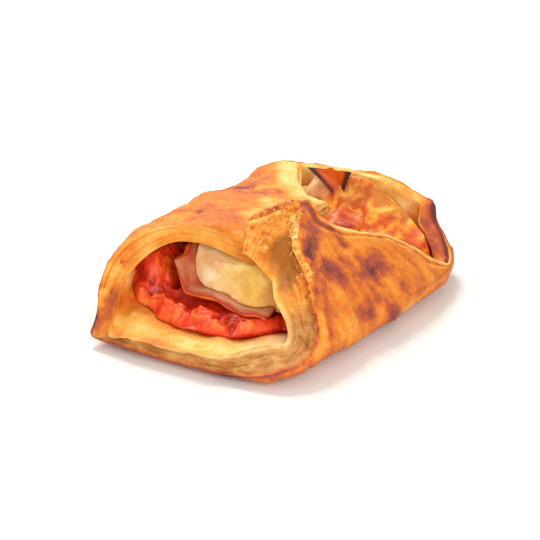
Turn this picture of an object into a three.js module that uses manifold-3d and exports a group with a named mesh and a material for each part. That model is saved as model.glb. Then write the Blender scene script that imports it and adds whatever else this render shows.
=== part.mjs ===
// Savoury pastry basket: one square of puff pastry folded round ham, melted cheese,
// tomato sauce and a curl of bacon. Millimetres, +X along the parcel, +Z up.
import * as THREE from 'three';
import { ConvexGeometry } from 'three/addons/geometries/ConvexGeometry.js';
import { mergeVertices } from 'three/addons/utils/BufferGeometryUtils.js';
import Module from 'manifold-3d';

const wasm = await Module();
wasm.setup();

// Cross-sections along the parcel: widest points (right, left), their heights,
// crest heights of the right and left flaps, and where the crest lies.
const STATION = {
  x: [-61, -46, -25, 2, 32, 60],
  yRight: [-33, -41, -45, -49, -53, -45.5],
  yLeft: [37.5, 39, 43.5, 40.5, 41, 36],
  zRight: [7, 9, 10, 10, 9, 7],
  zLeft: [6, 14, 19, 17, 15, 13],
  crestRight: [26, 33, 39, 43, 35.5, 30],
  crestLeft: [28, 34, 36, 35.5, 34, 33.5],
  yCrest: [-2, -4, -9, -12, -11, -6],
};
// How square the rounding is: a pointed roof on the right, a full shoulder on the left.
const ROOF_SQUARENESS = 1.3;
const SHOULDER_SQUARENESS = 3.5;
const BASE_SQUARENESS = 3.2;

// The sheet's edges: position along X against the angle round the cross-section
// (0 base, 90 left side, 180 crest, -90 right side, below -180 the folded-over tip).
const TIP_ANGLE = -205;
const TUCK_ANGLE = 180;
const NEAR_OUTER = {
  a: [-205, -197, -188, -180, -170, -160, -150, -137, -120, -103, -90, -60, 0, 74, 92, 112, 130, 150, 180],
  x: [-19, -14.5, -6, -4, -6, -16, -25, -29, -36, -44, -50, -58, -61.5, -61.5, -54.5, -50, -41, -28, -25],
};
const NEAR_INNER = {
  a: [-205, -180, -155, -137, -120, -90, -60, -30, 0, 74, 92, 112, 130, 150, 180],
  x: [-29, -29, -29, -35, -38, -45, -51, -58, -61.5, -61.5, -54.5, -50, -40, -28, -26],
};
const FAR_EDGE = {
  a: [-205, -190, -170, -155, -143, -126, -110, -98, -87, -75, -60, 0, 60, 90, 136, 150, 162, 174, 180],
  x: [-13, -2, 0.5, -3, 2, 25, 35, 42, 55, 58.5, 60, 61, 60, 59, 60, 51, 37, 23, 18],
};
const FAR_RIM_HEIGHT = { a: [-100, -88, -75, -40, 0, 60, 100, 136], z: [11, 20, 24.5, 27.5, 32, 31, 30, 30] };

// Dough thickness at the near edge, in the body of the sheet and at the far edge.
const NEAR_THICK = {
  a: [-205, -180, -150, -130, -105, -80, -55, -30, 0, 25, 50, 70, 90, 125, 155, 180],
  t: [5, 12, 12, 12, 12, 13.5, 14.5, 11.5, 8, 9, 13, 10.5, 8, 7, 6.5, 7],
};
const BODY_THICK = { a: [-205, -170, -90, -50, 50, 90, 150, 180], t: [3, 7, 6, 5.5, 5.5, 6, 6, 5] };
const FAR_THICK = { a: [-205, -150, -100, -60, 60, 120, 160, 180], t: [3, 6, 6, 5, 5, 6, 8, 6] };
const NEAR_THICK_REACH = 16;
const FAR_THICK_REACH = 9;

const WALL_BEND = 8;
const WALL_LEAN = 0.19;
const EDGE_LIFT = 2.8;
const LAP_SINK = 0.4;
const BASE_PRESS = 0.6;
const DROOP = { depth: 4, from: -26, reach: 9 };
const LAP_BACK = -27.2;
const POCKET = { depth: 2.4, angle: -149, along: 7, across: 3.8, share: 0.6, out: 0.8 };
const GAP = 0.45;
const SIMPLIFY = 0.09;
const SLAB_END = 56;

// Smooth curve through control values, never overshooting them.
function curve(xs, ys, x) {
  const n = xs.length;
  const at = Math.min(Math.max(x, xs[0]), xs[n - 1]);
  let i = 0;
  while (i < n - 2 && at > xs[i + 1]) i += 1;
  const secant = (k) => (ys[k + 1] - ys[k]) / (xs[k + 1] - xs[k]);
  const slope = (k) => {
    if (k === 0) return secant(0);
    if (k === n - 1) return secant(n - 2);
    const product = secant(k - 1) * secant(k);
    return product > 0 ? (2 * product) / (secant(k - 1) + secant(k)) : 0;
  };
  const h = xs[i + 1] - xs[i];
  const t = (at - xs[i]) / h;
  const t2 = t * t;
  const t3 = t2 * t;
  return (2 * t3 - 3 * t2 + 1) * ys[i] + (t3 - 2 * t2 + t) * h * slope(i)
    + (3 * t2 - 2 * t3) * ys[i + 1] + (t3 - t2) * h * slope(i + 1);
}

function smooth(low, high, value) {
  const t = Math.min(Math.max((value - low) / (high - low), 0), 1);
  return t * t * (3 - 2 * t);
}

function bump(value, centre, width) {
  return Math.exp(-(((value - centre) / width) ** 2));
}

function station(x) {
  const at = {};
  for (const name of Object.keys(STATION)) {
    if (name !== 'x') at[name] = curve(STATION.x, STATION[name], x);
  }
  return at;
}

// A point of the rounded cross-section at x, set in from the outer face.
function section(x, angle, inset, floorInset) {
  const s = station(x);
  const left = angle >= 0;
  const ySide = left ? s.yLeft - inset : s.yRight + inset;
  const zSide = left ? s.zLeft : s.zRight;
  const crest = (left ? s.crestLeft : s.crestRight) - inset;
  const b = (Math.abs(angle) * Math.PI) / 180;
  const below = b < Math.PI / 2;
  const topSquareness = left ? SHOULDER_SQUARENESS : ROOF_SQUARENESS;
  const power = 2 / (below ? BASE_SQUARENESS : topSquareness);
  const across = Math.sign(Math.sin(b)) * Math.abs(Math.sin(b)) ** power;
  const up = Math.abs(Math.cos(b)) ** power;
  const low = Math.min(floorInset, 0.75 * zSide);
  const y = s.yCrest + (ySide - s.yCrest) * across;
  const sag = left && !below ? droop(x, y) : 0;
  return [x, y, below ? zSide - (zSide - low) * up : zSide + (crest - zSide) * up - sag];
}

// The left flap sags near its tucked corner, under the weight of the tip.
function droop(x, y) {
  const along = Math.exp(-Math.max(x - DROOP.from, 0) / DROOP.reach);
  return DROOP.depth * along * (1 - smooth(-8, 14, y));
}

function leftFlapTop(x, y) {
  const s = station(x);
  const across = Math.min(Math.abs((y - s.yCrest) / (s.yLeft - s.yCrest)), 1);
  const up = (1 - across ** SHOULDER_SQUARENESS) ** (1 / SHOULDER_SQUARENESS);
  return s.zLeft + (s.crestLeft - s.zLeft) * up - droop(x, y);
}

// How much of the far edge is turned up into the wall, by angle.
function wallShare(angle) {
  return smooth(-100, -86, angle) * (1 - smooth(85, 125, angle));
}

// Where the sheet runs: along X, then round the bend and up the far wall.
function sheetPath(angle, w, near) {
  const start = curve(near.a, near.x, angle);
  const end = curve(FAR_EDGE.a, FAR_EDGE.x, angle);
  const share = wallShare(angle);
  const bend = Math.max(WALL_BEND * share, 1e-6);
  const rim = curve(FAR_RIM_HEIGHT.a, FAR_RIM_HEIGHT.z, angle);
  const climb = Math.max(rim - section(end, angle, 0, 0)[2] - bend, 0) * share;
  const flat = end - bend - start;
  const length = flat + (Math.PI / 2) * bend + climb;
  const s = w * length;
  const turn = Math.min(Math.max((s - flat) / bend, 0), Math.PI / 2);
  const straight = share > 1e-3 ? Math.max(s - flat - (Math.PI / 2) * bend, 0) : 0;
  return {
    x: s < flat ? start + s : end - bend + bend * Math.sin(turn),
    lift: bend * (1 - Math.cos(turn)) + straight,
    wall: share * Math.sin(turn) ** 2,
    fromNear: s,
    fromFar: length - s,
  };
}

function leanIn(point, lift) {
  const middle = station(point[0]).yCrest;
  point[1] = middle + (point[1] - middle) * (1 - WALL_LEAN * smooth(0, 17, lift));
  return point;
}

// The right flap's tip lies on the left flap.
function lapOver(point, angle, over) {
  if (angle > -150 || point[0] < LAP_BACK) return point;
  if (point[1] < station(point[0]).yCrest - 3) return point;
  point[2] = Math.max(point[2], leftFlapTop(point[0], point[1]) - LAP_SINK + over);
  return point;
}

function edgeLift(angle, fromNear, reach) {
  return EDGE_LIFT * Math.exp(-fromNear / reach) * smooth(-95, -70, angle) * (1 - smooth(40, 78, angle));
}

// Gentle blisters and folds of the crust, faded out on the base and where the flaps lap.
function blisters(x, angle) {
  const fade = smooth(60, 95, Math.abs(angle)) * (1 - smooth(158, 172, Math.abs(angle)));
  return fade * (0.55 * Math.sin(x / 8 + angle / 19) + 0.4 * Math.sin(x / 4.7 - angle / 13 + 1.3));
}

// The base is pressed flat by the tray it was baked on.
function pressFlat(z) {
  return z > 2 * BASE_PRESS ? z : Math.max(2 * (z - BASE_PRESS), 0);
}

function outerPoint(angle, w) {
  const path = sheetPath(angle, w, NEAR_OUTER);
  const point = section(path.x, angle, -blisters(path.x, angle) * (1 - path.wall), 0);
  point[2] = pressFlat(point[2] + path.lift + edgeLift(angle, path.fromNear, 2.5));
  return lapOver(leanIn(point, path.lift), angle, 2.5);
}

function thickness(angle, fromNear, fromFar) {
  const body = curve(BODY_THICK.a, BODY_THICK.t, angle);
  const near = curve(NEAR_THICK.a, NEAR_THICK.t, angle) - body;
  const far = curve(FAR_THICK.a, FAR_THICK.t, angle) - body;
  return body + near * Math.exp(-fromNear / NEAR_THICK_REACH) + far * Math.exp(-fromFar / FAR_THICK_REACH);
}

function innerPoint(angle, w) {
  const path = sheetPath(angle, w, NEAR_INNER);
  const t = thickness(angle, path.fromNear, path.fromFar);
  const point = section(path.x, angle, t, t * (1 - path.wall));
  const middle = station(path.x).yCrest;
  point[1] = middle + (point[1] - middle) * (1 - 0.6 * smooth(-180, -200, angle));
  point[0] -= t * path.wall;
  point[2] += path.lift + edgeLift(angle, path.fromNear, 6);
  return lapOver(leanIn(point, path.lift), angle, 0);
}

// Angles round the section spaced evenly by length, measured on the middle section.
function evenAngles(from, to, count) {
  const fine = 1200;
  const angles = [from];
  const lengths = [0];
  let before = section(0, from, 0, 0);
  for (let i = 1; i <= fine; i += 1) {
    const angle = from + ((to - from) * i) / fine;
    const point = section(0, angle, 0, 0);
    angles.push(angle);
    lengths.push(lengths[i - 1] + Math.hypot(point[1] - before[1], point[2] - before[2]));
    before = point;
  }
  const even = [];
  let k = 0;
  for (let i = 0; i <= count; i += 1) {
    const want = (lengths[fine] * i) / count;
    while (k < fine - 1 && lengths[k + 1] < want) k += 1;
    const t = (want - lengths[k]) / Math.max(lengths[k + 1] - lengths[k], 1e-9);
    even.push(angles[k] + (angles[k + 1] - angles[k]) * t);
  }
  return even;
}

// A closed skin over rings of equal size, with its first and last rings capped.
function ringSkin(rings) {
  const size = rings[0].length;
  const points = rings.flat();
  const triangles = [];
  for (let i = 0; i + 1 < rings.length; i += 1) {
    for (let j = 0; j < size; j += 1) {
      const k = (j + 1) % size;
      const [a, b, c, d] = [i * size + j, i * size + k, (i + 1) * size + k, (i + 1) * size + j];
      triangles.push([a, c, b], [a, d, c]);
    }
  }
  const ends = [
    [rings[0], 0, false],
    [rings[rings.length - 1], points.length - size, true],
  ];
  for (const [ring, base, flip] of ends) {
    const centre = points.length;
    const sum = ring.reduce((s, p) => [s[0] + p[0], s[1] + p[1], s[2] + p[2]], [0, 0, 0]);
    points.push(sum.map((v) => v / size));
    for (let j = 0; j < size; j += 1) {
      const k = (j + 1) % size;
      triangles.push(flip ? [centre, base + k, base + j] : [centre, base + j, base + k]);
    }
  }
  return [points, triangles];
}

// Which way a cut edge faces, at each angle, from its inner and outer lines.
function edgeNormals(inner, outer) {
  const count = inner.length;
  const middle = inner.map((p, i) => p.map((v, k) => (v + outer[i][k]) / 2));
  return middle.map((_, i) => {
    const ahead = new THREE.Vector3(...middle[Math.min(i + 1, count - 1)]);
    const along = ahead.sub(new THREE.Vector3(...middle[Math.max(i - 1, 0)]));
    const across = new THREE.Vector3(...outer[i]).sub(new THREE.Vector3(...inner[i]));
    return across.cross(along).normalize().toArray();
  });
}

// How far the near cut edge swells out between its inner and outer lines.
function nearRelief(angle, share) {
  const arch = Math.sin(Math.PI * share);
  const roll = (0.8 + 1.8 * smooth(85, 120, angle)) * arch;
  const layers = 0.35 * Math.cos(6 * Math.PI * share) * arch * (1 - smooth(70, 95, angle));
  return roll + layers;
}

function between(from, to, share) {
  return from.map((v, k) => v + (to[k] - v) * share);
}

// Facets round the section, along the sheet and across the near cut edge.
const SHELL = { columns: 66, steps: 19, faceRows: 6 };

// The folded sheet, joined from small blocks so that its laps and tight folds close cleanly.
function pastryShell() {
  const { columns, steps, faceRows } = SHELL;
  const angles = evenAngles(TIP_ANGLE, TUCK_ANGLE, columns);
  const closerAtEdges = (t) => t - 0.08 * Math.sin(2 * Math.PI * t);
  const shares = Array.from({ length: steps + 1 }, (_, i) => closerAtEdges(i / steps));
  const outer = angles.map((a) => shares.map((w) => outerPoint(a, w)));
  const inner = angles.map((a) => shares.map((w) => innerPoint(a, w)));
  const normals = edgeNormals(inner.map((r) => r[0]), outer.map((r) => r[0]));
  const face = (i, row) => {
    const share = row / faceRows;
    const out = nearRelief(angles[i], share);
    const point = between(inner[i][0], outer[i][0], share);
    return lapOver(point.map((v, k) => v + normals[i][k] * out), angles[i], 0);
  };
  const blocks = [];
  for (let i = 0; i < columns; i += 1) {
    const sides = [i, i + 1];
    for (let k = 0; k < steps; k += 1) {
      blocks.push(sides.flatMap((c) => [outer[c][k], outer[c][k + 1], inner[c][k], inner[c][k + 1]]));
    }
    for (let row = 0; row < faceRows; row += 1) {
      const behind = (c, r) => between(inner[c][1], outer[c][1], r / faceRows);
      blocks.push(sides.flatMap((c) => [face(c, row), face(c, row + 1), behind(c, row), behind(c, row + 1)]));
    }
  }
  const at = angles.reduce((best, a, i) => (
    Math.abs(a - POCKET.angle) < Math.abs(angles[best] - POCKET.angle) ? i : best), 0);
  const middle = between(inner[at][0], outer[at][0], POCKET.share);
  const along = inner[at + 3][0].map((v, k) => v - inner[at - 3][0][k]);
  const pocket = pocketSolid(middle, along, normals[at]);
  return largest(wasm.Manifold.union(blocks.map(block))).subtract(pocket);
}

// One block of the sheet: the convex solid round its eight corners.
function block(corners) {
  const geometry = new ConvexGeometry(corners.map((p) => new THREE.Vector3(...p)));
  return geometrySolid(geometry);
}

// The smooth hollow in the folded-over edge.
function pocketSolid(middle, along, normal) {
  const side = new THREE.Vector3(...along).normalize();
  const out = new THREE.Vector3(...normal);
  const across = new THREE.Vector3().crossVectors(out, side).normalize();
  const geometry = new THREE.SphereGeometry(1, 24, 16);
  geometry.scale(POCKET.along, POCKET.across, POCKET.depth);
  const turn = new THREE.Matrix4().makeBasis(side, across, new THREE.Vector3().crossVectors(side, across));
  geometry.applyMatrix4(turn);
  geometry.translate(...middle.map((v, k) => v + normal[k] * POCKET.out));
  return geometrySolid(geometry);
}

function geometrySolid(geometry) {
  geometry.deleteAttribute('normal');
  geometry.deleteAttribute('uv');
  const merged = mergeVertices(geometry, 1e-5);
  const points = [];
  const { array } = merged.getAttribute('position');
  for (let i = 0; i < array.length; i += 3) points.push([array[i], array[i + 1], array[i + 2]]);
  const index = Array.from(merged.getIndex().array);
  const triangles = [];
  for (let i = 0; i < index.length; i += 3) {
    const [a, b, c] = index.slice(i, i + 3);
    if (a !== b && b !== c && c !== a) triangles.push([a, b, c]);
  }
  return toManifold(points, triangles);
}

function toManifold(points, triangles) {
  const mesh = new wasm.Mesh({
    numProp: 3,
    vertProperties: new Float32Array(points.flat()),
    triVerts: new Uint32Array(triangles.flat()),
  });
  return new wasm.Manifold(mesh);
}

function outward(points, triangles) {
  return toManifold(points, triangles).volume() < 0 ? triangles.map(([a, b, c]) => [a, c, b]) : triangles;
}

function closedSolid(points, triangles) {
  return toManifold(points, outward(points, triangles));
}

function fromManifold(solid) {
  const mesh = solid.getMesh();
  const geometry = new THREE.BufferGeometry();
  geometry.setAttribute('position', new THREE.Float32BufferAttribute(Array.from(mesh.vertProperties), 3));
  geometry.setIndex(Array.from(mesh.triVerts));
  geometry.computeVertexNormals();
  return geometry;
}

// The room inside the folded sheet, a hair clear of the dough.
const ROOM = { from: -54, to: 54.2, rings: 20, columns: 48 };
// How much higher fillings may stand where no flap lies over them.
const OPEN_RISE = 8;
const OPEN_FROM = 22;

function roomPoint(x, angle) {
  const start = curve(NEAR_INNER.a, NEAR_INNER.x, angle);
  const end = curve(FAR_EDGE.a, FAR_EDGE.x, angle);
  const foldGap = 1.5 * bump(angle, -90, 19);
  const t = thickness(angle, Math.max(x - start, 0), Math.max(end - x, 0)) + GAP + foldGap;
  const point = section(x, angle, t, t);
  const tuckThick = thickness(180, Math.max(x + 26, 0), Math.max(18 - x, 0));
  const ceiling = section(x, 180, tuckThick + 2 * GAP, 0)[2];
  if (Math.abs(angle) > 90) point[2] = Math.min(point[2], ceiling);
  point[2] += OPEN_RISE * smooth(0, 7, x - Math.max(end, OPEN_FROM)) * smooth(96, 125, Math.abs(angle));
  point[2] += angle < 90 && angle > -90 ? edgeLift(angle, Math.max(x - start, 0), 6) : 0;
  const middle = station(x).yCrest;
  point[1] = middle + (point[1] - middle) * (1 - 0.24 * smooth(42, 54, x));
  return point;
}

function room() {
  const angles = evenAngles(-180, 180, ROOM.columns).slice(0, -1);
  const rings = [];
  for (let i = 0; i <= ROOM.rings; i += 1) {
    const x = ROOM.from + ((ROOM.to - ROOM.from) * i) / ROOM.rings;
    rings.push(angles.map((angle) => roomPoint(x, angle)));
  }
  return closedSolid(...ringSkin(rings));
}

// A slab between two height fields over a patch of the plan.
function slab(patch, bottom, top, across, along) {
  const rows = [];
  for (let i = 0; i <= along; i += 1) {
    const u = i / along;
    const upper = [];
    const lower = [];
    for (let j = 0; j <= across; j += 1) {
      const [x, y] = patch(u, j / across);
      const low = bottom(x, y);
      upper.push([x, y, Math.max(top(x, y), low + 0.4)]);
      lower.push([x, y, low]);
    }
    rows.push([...lower, ...upper.reverse()]);
  }
  return closedSolid(...ringSkin(rows));
}

// Sauce: a shallow bed that climbs the left wall and pools against the far wall.
const SAUCE = { bed: 9.6, leftRise: 20, wallRise: 17, front: -47, leftTurn: 2.4, rightTurn: 20 };

function sauceFront(y) {
  const turn = y > 0 ? SAUCE.leftTurn : SAUCE.rightTurn;
  return SAUCE.front + Math.min(turn * (Math.abs(y) / 24) ** 2.4, 15);
}

function sauceTop(x, y) {
  const risen = smooth(-3, 8, x - sauceFront(y)) * (1 - 0.5 * smooth(-20, 0, x));
  const left = SAUCE.leftRise * smooth(18, 38, y) * risen;
  const pool = SAUCE.wallRise * bump(x, 55, 7) * bump(y, 0, 7);
  const chunks = 0.7 * Math.sin(x / 2.6 + y / 4.1) * Math.sin(y / 3.2 - x / 5.3);
  const openBed = SAUCE.bed + smooth(-46, -36, x) + left + pool + chunks;
  const alongHam = smooth(HAM.front + 2, HAM.front + 9, x) * (1 - smooth(2, 14, x));
  const acrossHam = smooth(-21, -16, y) * (1 - smooth(16, 22, y));
  const heldUp = hamMiddle(x, y) - HAM.thick / 2 - 2 * GAP;
  return openBed + Math.max(heldUp - openBed, 0) * alongHam * acrossHam;
}

function saucePatch(u, v) {
  const y = -46 + 92 * v;
  const front = sauceFront(y);
  return [front + (SLAB_END - front) * u, y];
}

function sauceSolid(grow) {
  const across = 26;
  const along = 20;
  const patch = (u, v) => {
    const [x, y] = saucePatch(u, v);
    return [x - 2 * grow * (1 - u), y];
  };
  return slab(patch, () => 0, (x, y) => sauceTop(x, y) + grow, across, along);
}

// Ham: a slice lying on the sauce, its left side standing up the wall,
// its far end lifted so that it pokes out from under the flaps.
const HAM = { thick: 2.6, front: -36, farEnd: 34 };

function hamMiddle(x, y) {
  const base = 11 + 4 * smooth(-16, 14, y) + 11 * smooth(14, 22, y);
  const rise = smooth(-33, -12, x);
  const far = 26.5 - 0.03 * (y + 15) ** 2;
  const ripple = 0.5 * Math.sin(y / 2.7 + x / 6);
  return base + 4 * rise + (far - base - 4 * rise) * smooth(0, 24, x) + ripple;
}

function hamPatch(u, v) {
  const near = [HAM.front + 2 * smooth(0.75, 1, v), -17 + 40 * v];
  const rounded = 5 * (2 * v - 1) ** 4;
  const far = [HAM.farEnd - rounded, -22 + 13 * v];
  const s = u ** 0.9;
  return [near[0] + (far[0] - near[0]) * s, near[1] + (far[1] - near[1]) * smooth(0.1, 1, s)];
}

function hamSolid(grow) {
  const half = HAM.thick / 2 + grow;
  const patch = (u, v) => {
    const [x, y] = hamPatch(u, v);
    return [x + grow * 1.4 * (2 * u - 1), y + grow * 1.4 * (2 * v - 1)];
  };
  const across = 20;
  const along = 12;
  return slab(patch, (x, y) => hamMiddle(x, y) - half, (x, y) => hamMiddle(x, y) + half, across, along);
}

// Cheese: a smooth melted mass over the ham that runs through to the far wall.
const CHEESE = {
  front: -32, frontBow: 0.012, nearLevel: 12.5, swell: 19, slope: 15,
  farLevel: 16, wallLevel: 29.5, wallFall: 8,
};

function cheeseFront(y) {
  return CHEESE.front + CHEESE.frontBow * (y + 2) ** 2;
}

function cheeseTop(x, y) {
  const front = cheeseFront(y);
  const swell = CHEESE.swell * Math.sin((Math.PI / 2) * Math.min(Math.max((x - front) / CHEESE.slope, 0), 1));
  const near = CHEESE.nearLevel + 3.5 * smooth(-16, 12, y) + swell + 0.4 * Math.sin(y / 3 + x / 4);
  const wallTop = CHEESE.wallLevel - CHEESE.wallFall * (1 - smooth(-42, -12, y));
  const climb = Math.min(Math.max((x - 28) / 26.2, 0), 1) ** 2.2;
  const lumps = 0.5 * Math.sin(x / 3.4 + 1) * Math.sin(y / 4.2);
  const far = CHEESE.farLevel + (wallTop - CHEESE.farLevel) * climb + lumps;
  return near + (far - near) * smooth(2, 26, x);
}

function cheesePatch(u, v) {
  const y = -46 + (63 + 27 * smooth(0.15, 0.4, u)) * v;
  const front = cheeseFront(y);
  return [front + (SLAB_END - front) * u, y];
}

// Over the ham at the near end, down to the sheet elsewhere.
function cheeseBottom(x, y) {
  const overHam = (1 - smooth(4, 12, x)) * smooth(-24, -19, y) * (1 - smooth(22, 27, y));
  return 2 + (hamMiddle(x, y) - 2) * overHam;
}

function cheeseSolid() {
  const across = 20;
  const along = 17;
  return slab(cheesePatch, cheeseBottom, cheeseTop, across, along);
}

function largest(solid) {
  return solid.decompose().reduce((best, piece) => (piece.volume() > best.volume() ? piece : best));
}

// Bacon: a small curled slice standing in the far opening like a folded leaf.
const BACON = {
  foot: [49, -3.5, 20.5],
  leftTop: [51, 12.5, 33.5],
  backTop: [53.2, 6, 35],
  rightTop: [53, -5.5, 34],
  thick: 1.5,
};

function baconPoint(across, up, side) {
  const left = (1 - across) ** 2;
  const back = 2 * across * (1 - across) * 1.6;
  const right = across ** 2;
  const total = left + back + right;
  const rim = [0, 1, 2].map((k) => (
    (left * BACON.leftTop[k] + back * BACON.backTop[k] + right * BACON.rightTop[k]) / total));
  const rise = up ** 0.85;
  const hollow = 1.6 * Math.sin(Math.PI * up) * Math.sin(Math.PI * across);
  const curl = 0.35 * Math.sin(9 * across) * up;
  return [
    BACON.foot[0] + (rim[0] - BACON.foot[0]) * rise + hollow - side * BACON.thick * 0.7,
    BACON.foot[1] + (rim[1] - BACON.foot[1]) * up - side * BACON.thick * 0.5 + curl,
    BACON.foot[2] + (rim[2] - BACON.foot[2]) * up + side * 0.3,
  ];
}

function baconSolid() {
  const rings = [];
  const rows = 7;
  const columns = 10;
  for (let i = 0; i <= rows; i += 1) {
    const up = 0.12 + (0.88 * i) / rows;
    const front = [];
    const back = [];
    for (let j = 0; j <= columns; j += 1) {
      front.push(baconPoint(j / columns, up, 1));
      back.push(baconPoint(j / columns, up, 0));
    }
    rings.push([...back, ...front.reverse()]);
  }
  return closedSolid(...ringSkin(rings));
}

// The bacon's own outline, filled and a hair larger, kept free of the other fillings.
function baconRoom(bacon) {
  const box = bacon.boundingBox();
  const middle = box.min.map((v, k) => (v + box.max[k]) / 2);
  const grown = box.min.map((v, k) => (box.max[k] - v + 2 * GAP) / (box.max[k] - v));
  return bacon.hull().translate(middle.map((v) => -v)).scale(grown).translate(middle);
}

function material(name, colour, roughness) {
  return new THREE.MeshStandardMaterial({ name, color: colour, roughness, metalness: 0 });
}

function build() {
  const group = new THREE.Group();
  group.name = 'bacon_ham_pastry_basket';
  const shell = fromManifold(pastryShell().simplify(SIMPLIFY));
  const inside = room();
  const bacon = baconSolid();
  const besideBacon = inside.subtract(baconRoom(bacon));
  const sauceBed = sauceSolid(0).intersect(besideBacon);
  const sauceRoom = sauceSolid(2 * GAP);
  const hamBed = hamSolid(0).intersect(besideBacon).subtract(sauceRoom);
  const melt = cheeseSolid().intersect(besideBacon).subtract(sauceRoom).subtract(hamSolid(2 * GAP));
  const [sauce, ham, cheese] = [sauceBed, hamBed, melt].map((solid) => largest(solid).simplify(SIMPLIFY));
  const parts = [
    ['pastry', shell, material('puff_pastry', 0xd9913f, 0.5)],
    ['tomato_sauce', fromManifold(sauce), material('tomato_sauce', 0xc8401a, 0.3)],
    ['ham_slice', fromManifold(ham), material('cooked_ham', 0xd98a72, 0.4)],
    ['cheese', fromManifold(cheese), material('melted_cheese', 0xe8cf86, 0.35)],
    ['bacon_curl', fromManifold(bacon), material('fried_bacon', 0x8a3a1c, 0.4)],
  ];
  shell.computeBoundingBox();
  const box = shell.boundingBox;
  const centre = [(box.min.x + box.max.x) / 2, (box.min.y + box.max.y) / 2, box.min.z];
  for (const [name, geometry, look] of parts) {
    geometry.translate(-centre[0], -centre[1], -centre[2]);
    const mesh = new THREE.Mesh(geometry, look);
    mesh.name = name;
    group.add(mesh);
  }
  return group;
}

export default build();
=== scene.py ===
"""A savoury pastry basket: folded puff pastry round ham, melted cheese, tomato sauce and bacon.

Lengths in the shape functions are millimetres in the sheet's own frame; meshes are made in metres.
"""
import math
from types import SimpleNamespace

import bmesh
import bpy
import numpy as np
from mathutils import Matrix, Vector


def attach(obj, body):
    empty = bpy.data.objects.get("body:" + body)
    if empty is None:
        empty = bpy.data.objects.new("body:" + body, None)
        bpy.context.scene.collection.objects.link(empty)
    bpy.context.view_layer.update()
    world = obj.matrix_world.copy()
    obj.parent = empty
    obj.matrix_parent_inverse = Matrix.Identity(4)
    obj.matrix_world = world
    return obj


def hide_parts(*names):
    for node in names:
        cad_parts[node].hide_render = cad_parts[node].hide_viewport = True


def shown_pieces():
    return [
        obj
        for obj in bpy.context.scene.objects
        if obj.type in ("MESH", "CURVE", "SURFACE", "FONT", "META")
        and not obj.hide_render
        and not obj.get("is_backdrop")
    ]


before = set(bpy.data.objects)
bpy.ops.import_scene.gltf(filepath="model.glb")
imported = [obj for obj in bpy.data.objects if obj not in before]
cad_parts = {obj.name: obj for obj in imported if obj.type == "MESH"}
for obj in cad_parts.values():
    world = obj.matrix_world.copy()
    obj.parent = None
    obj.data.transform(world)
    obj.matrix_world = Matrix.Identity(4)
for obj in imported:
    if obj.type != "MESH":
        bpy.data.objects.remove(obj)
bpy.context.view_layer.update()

# Where the sheet's own frame lies in the part's frame.
SHIFT = np.array([0.25, 4.176, 0.0])
MM = 0.001

# Cross-sections along the parcel, as in the solid: widest points, their heights and the crest.
STATION = {
    "x": [-61, -46, -25, 2, 32, 60],
    "y_right": [-33, -41, -45, -49, -53, -45.5],
    "y_left": [37.5, 39, 43.5, 40.5, 41, 36],
    "z_right": [7, 9, 10, 10, 9, 7],
    "z_left": [6, 14, 19, 17, 15, 13],
    "crest_right": [26, 33, 39, 43, 35.5, 30],
    "crest_left": [28, 34, 36, 35.5, 34, 33.5],
    "y_crest": [-2, -4, -9, -12, -11, -6],
}
ROOF_SQUARENESS = 1.3
SHOULDER_SQUARENESS = 3.5
BASE_SQUARENESS = 3.2

# The sheet's edges: position along X against the angle round the section, which is 0 at the base,
# 90 at the left side, -90 at the right side and 180 or -180 at the crest.
TIP_ANGLE = -205
TUCK_ANGLE = 180
NEAR_OUTER = (
    [-205, -197, -188, -180, -170, -160, -150, -137, -120, -103, -90, -60, 0, 74, 92, 112, 130, 150, 180],
    [-19, -14.5, -6, -4, -6, -16, -25, -29, -36, -44, -50, -58, -61.5, -61.5, -54.5, -50, -41, -28, -25],
)
NEAR_INNER = (
    [-205, -180, -155, -137, -120, -90, -60, -30, 0, 74, 92, 112, 130, 150, 180],
    [-29, -29, -29, -35, -38, -45, -51, -58, -61.5, -61.5, -54.5, -50, -40, -28, -26],
)
FAR_EDGE = (
    [-205, -190, -170, -155, -143, -126, -110, -98, -87, -75, -60, 0, 60, 90, 136, 150, 162, 174, 180],
    [-13, -2, 0.5, -3, 2, 25, 35, 42, 55, 58.5, 60, 61, 60, 59, 60, 51, 37, 23, 18],
)
FAR_RIM_HEIGHT = ([-100, -88, -75, -40, 0, 60, 100, 136], [11, 20, 24.5, 27.5, 32, 31, 30, 30])
NEAR_THICK = (
    [-205, -180, -150, -130, -105, -80, -55, -30, 0, 25, 50, 70, 90, 125, 155, 180],
    [5, 12, 12, 12, 12, 13.5, 14.5, 11.5, 8, 9, 13, 10.5, 8, 7, 6.5, 7],
)
BODY_THICK = ([-205, -170, -90, -50, 50, 90, 150, 180], [3, 7, 6, 5.5, 5.5, 6, 6, 5])
FAR_THICK = ([-205, -150, -100, -60, 60, 120, 160, 180], [3, 6, 6, 5, 5, 6, 8, 6])
NEAR_THICK_REACH = 16
FAR_THICK_REACH = 9
WALL_BEND = 8
WALL_LEAN = 0.19
WALL_HEIGHT = 17
TIP_NARROWING = 0.6
EDGE_LIFT = 2.8
LAP_SINK = 0.4
BASE_PRESS = 0.6
DROOP_DEPTH, DROOP_FROM, DROOP_REACH = 4, -26, 9
LAP_BACK, LAP_FALL, LAP_ROUND = -27.2, 14, 3.0
GAP = 0.2
SLAB_END = 56


# Plain numbers: curves, ramps and noise.

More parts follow.
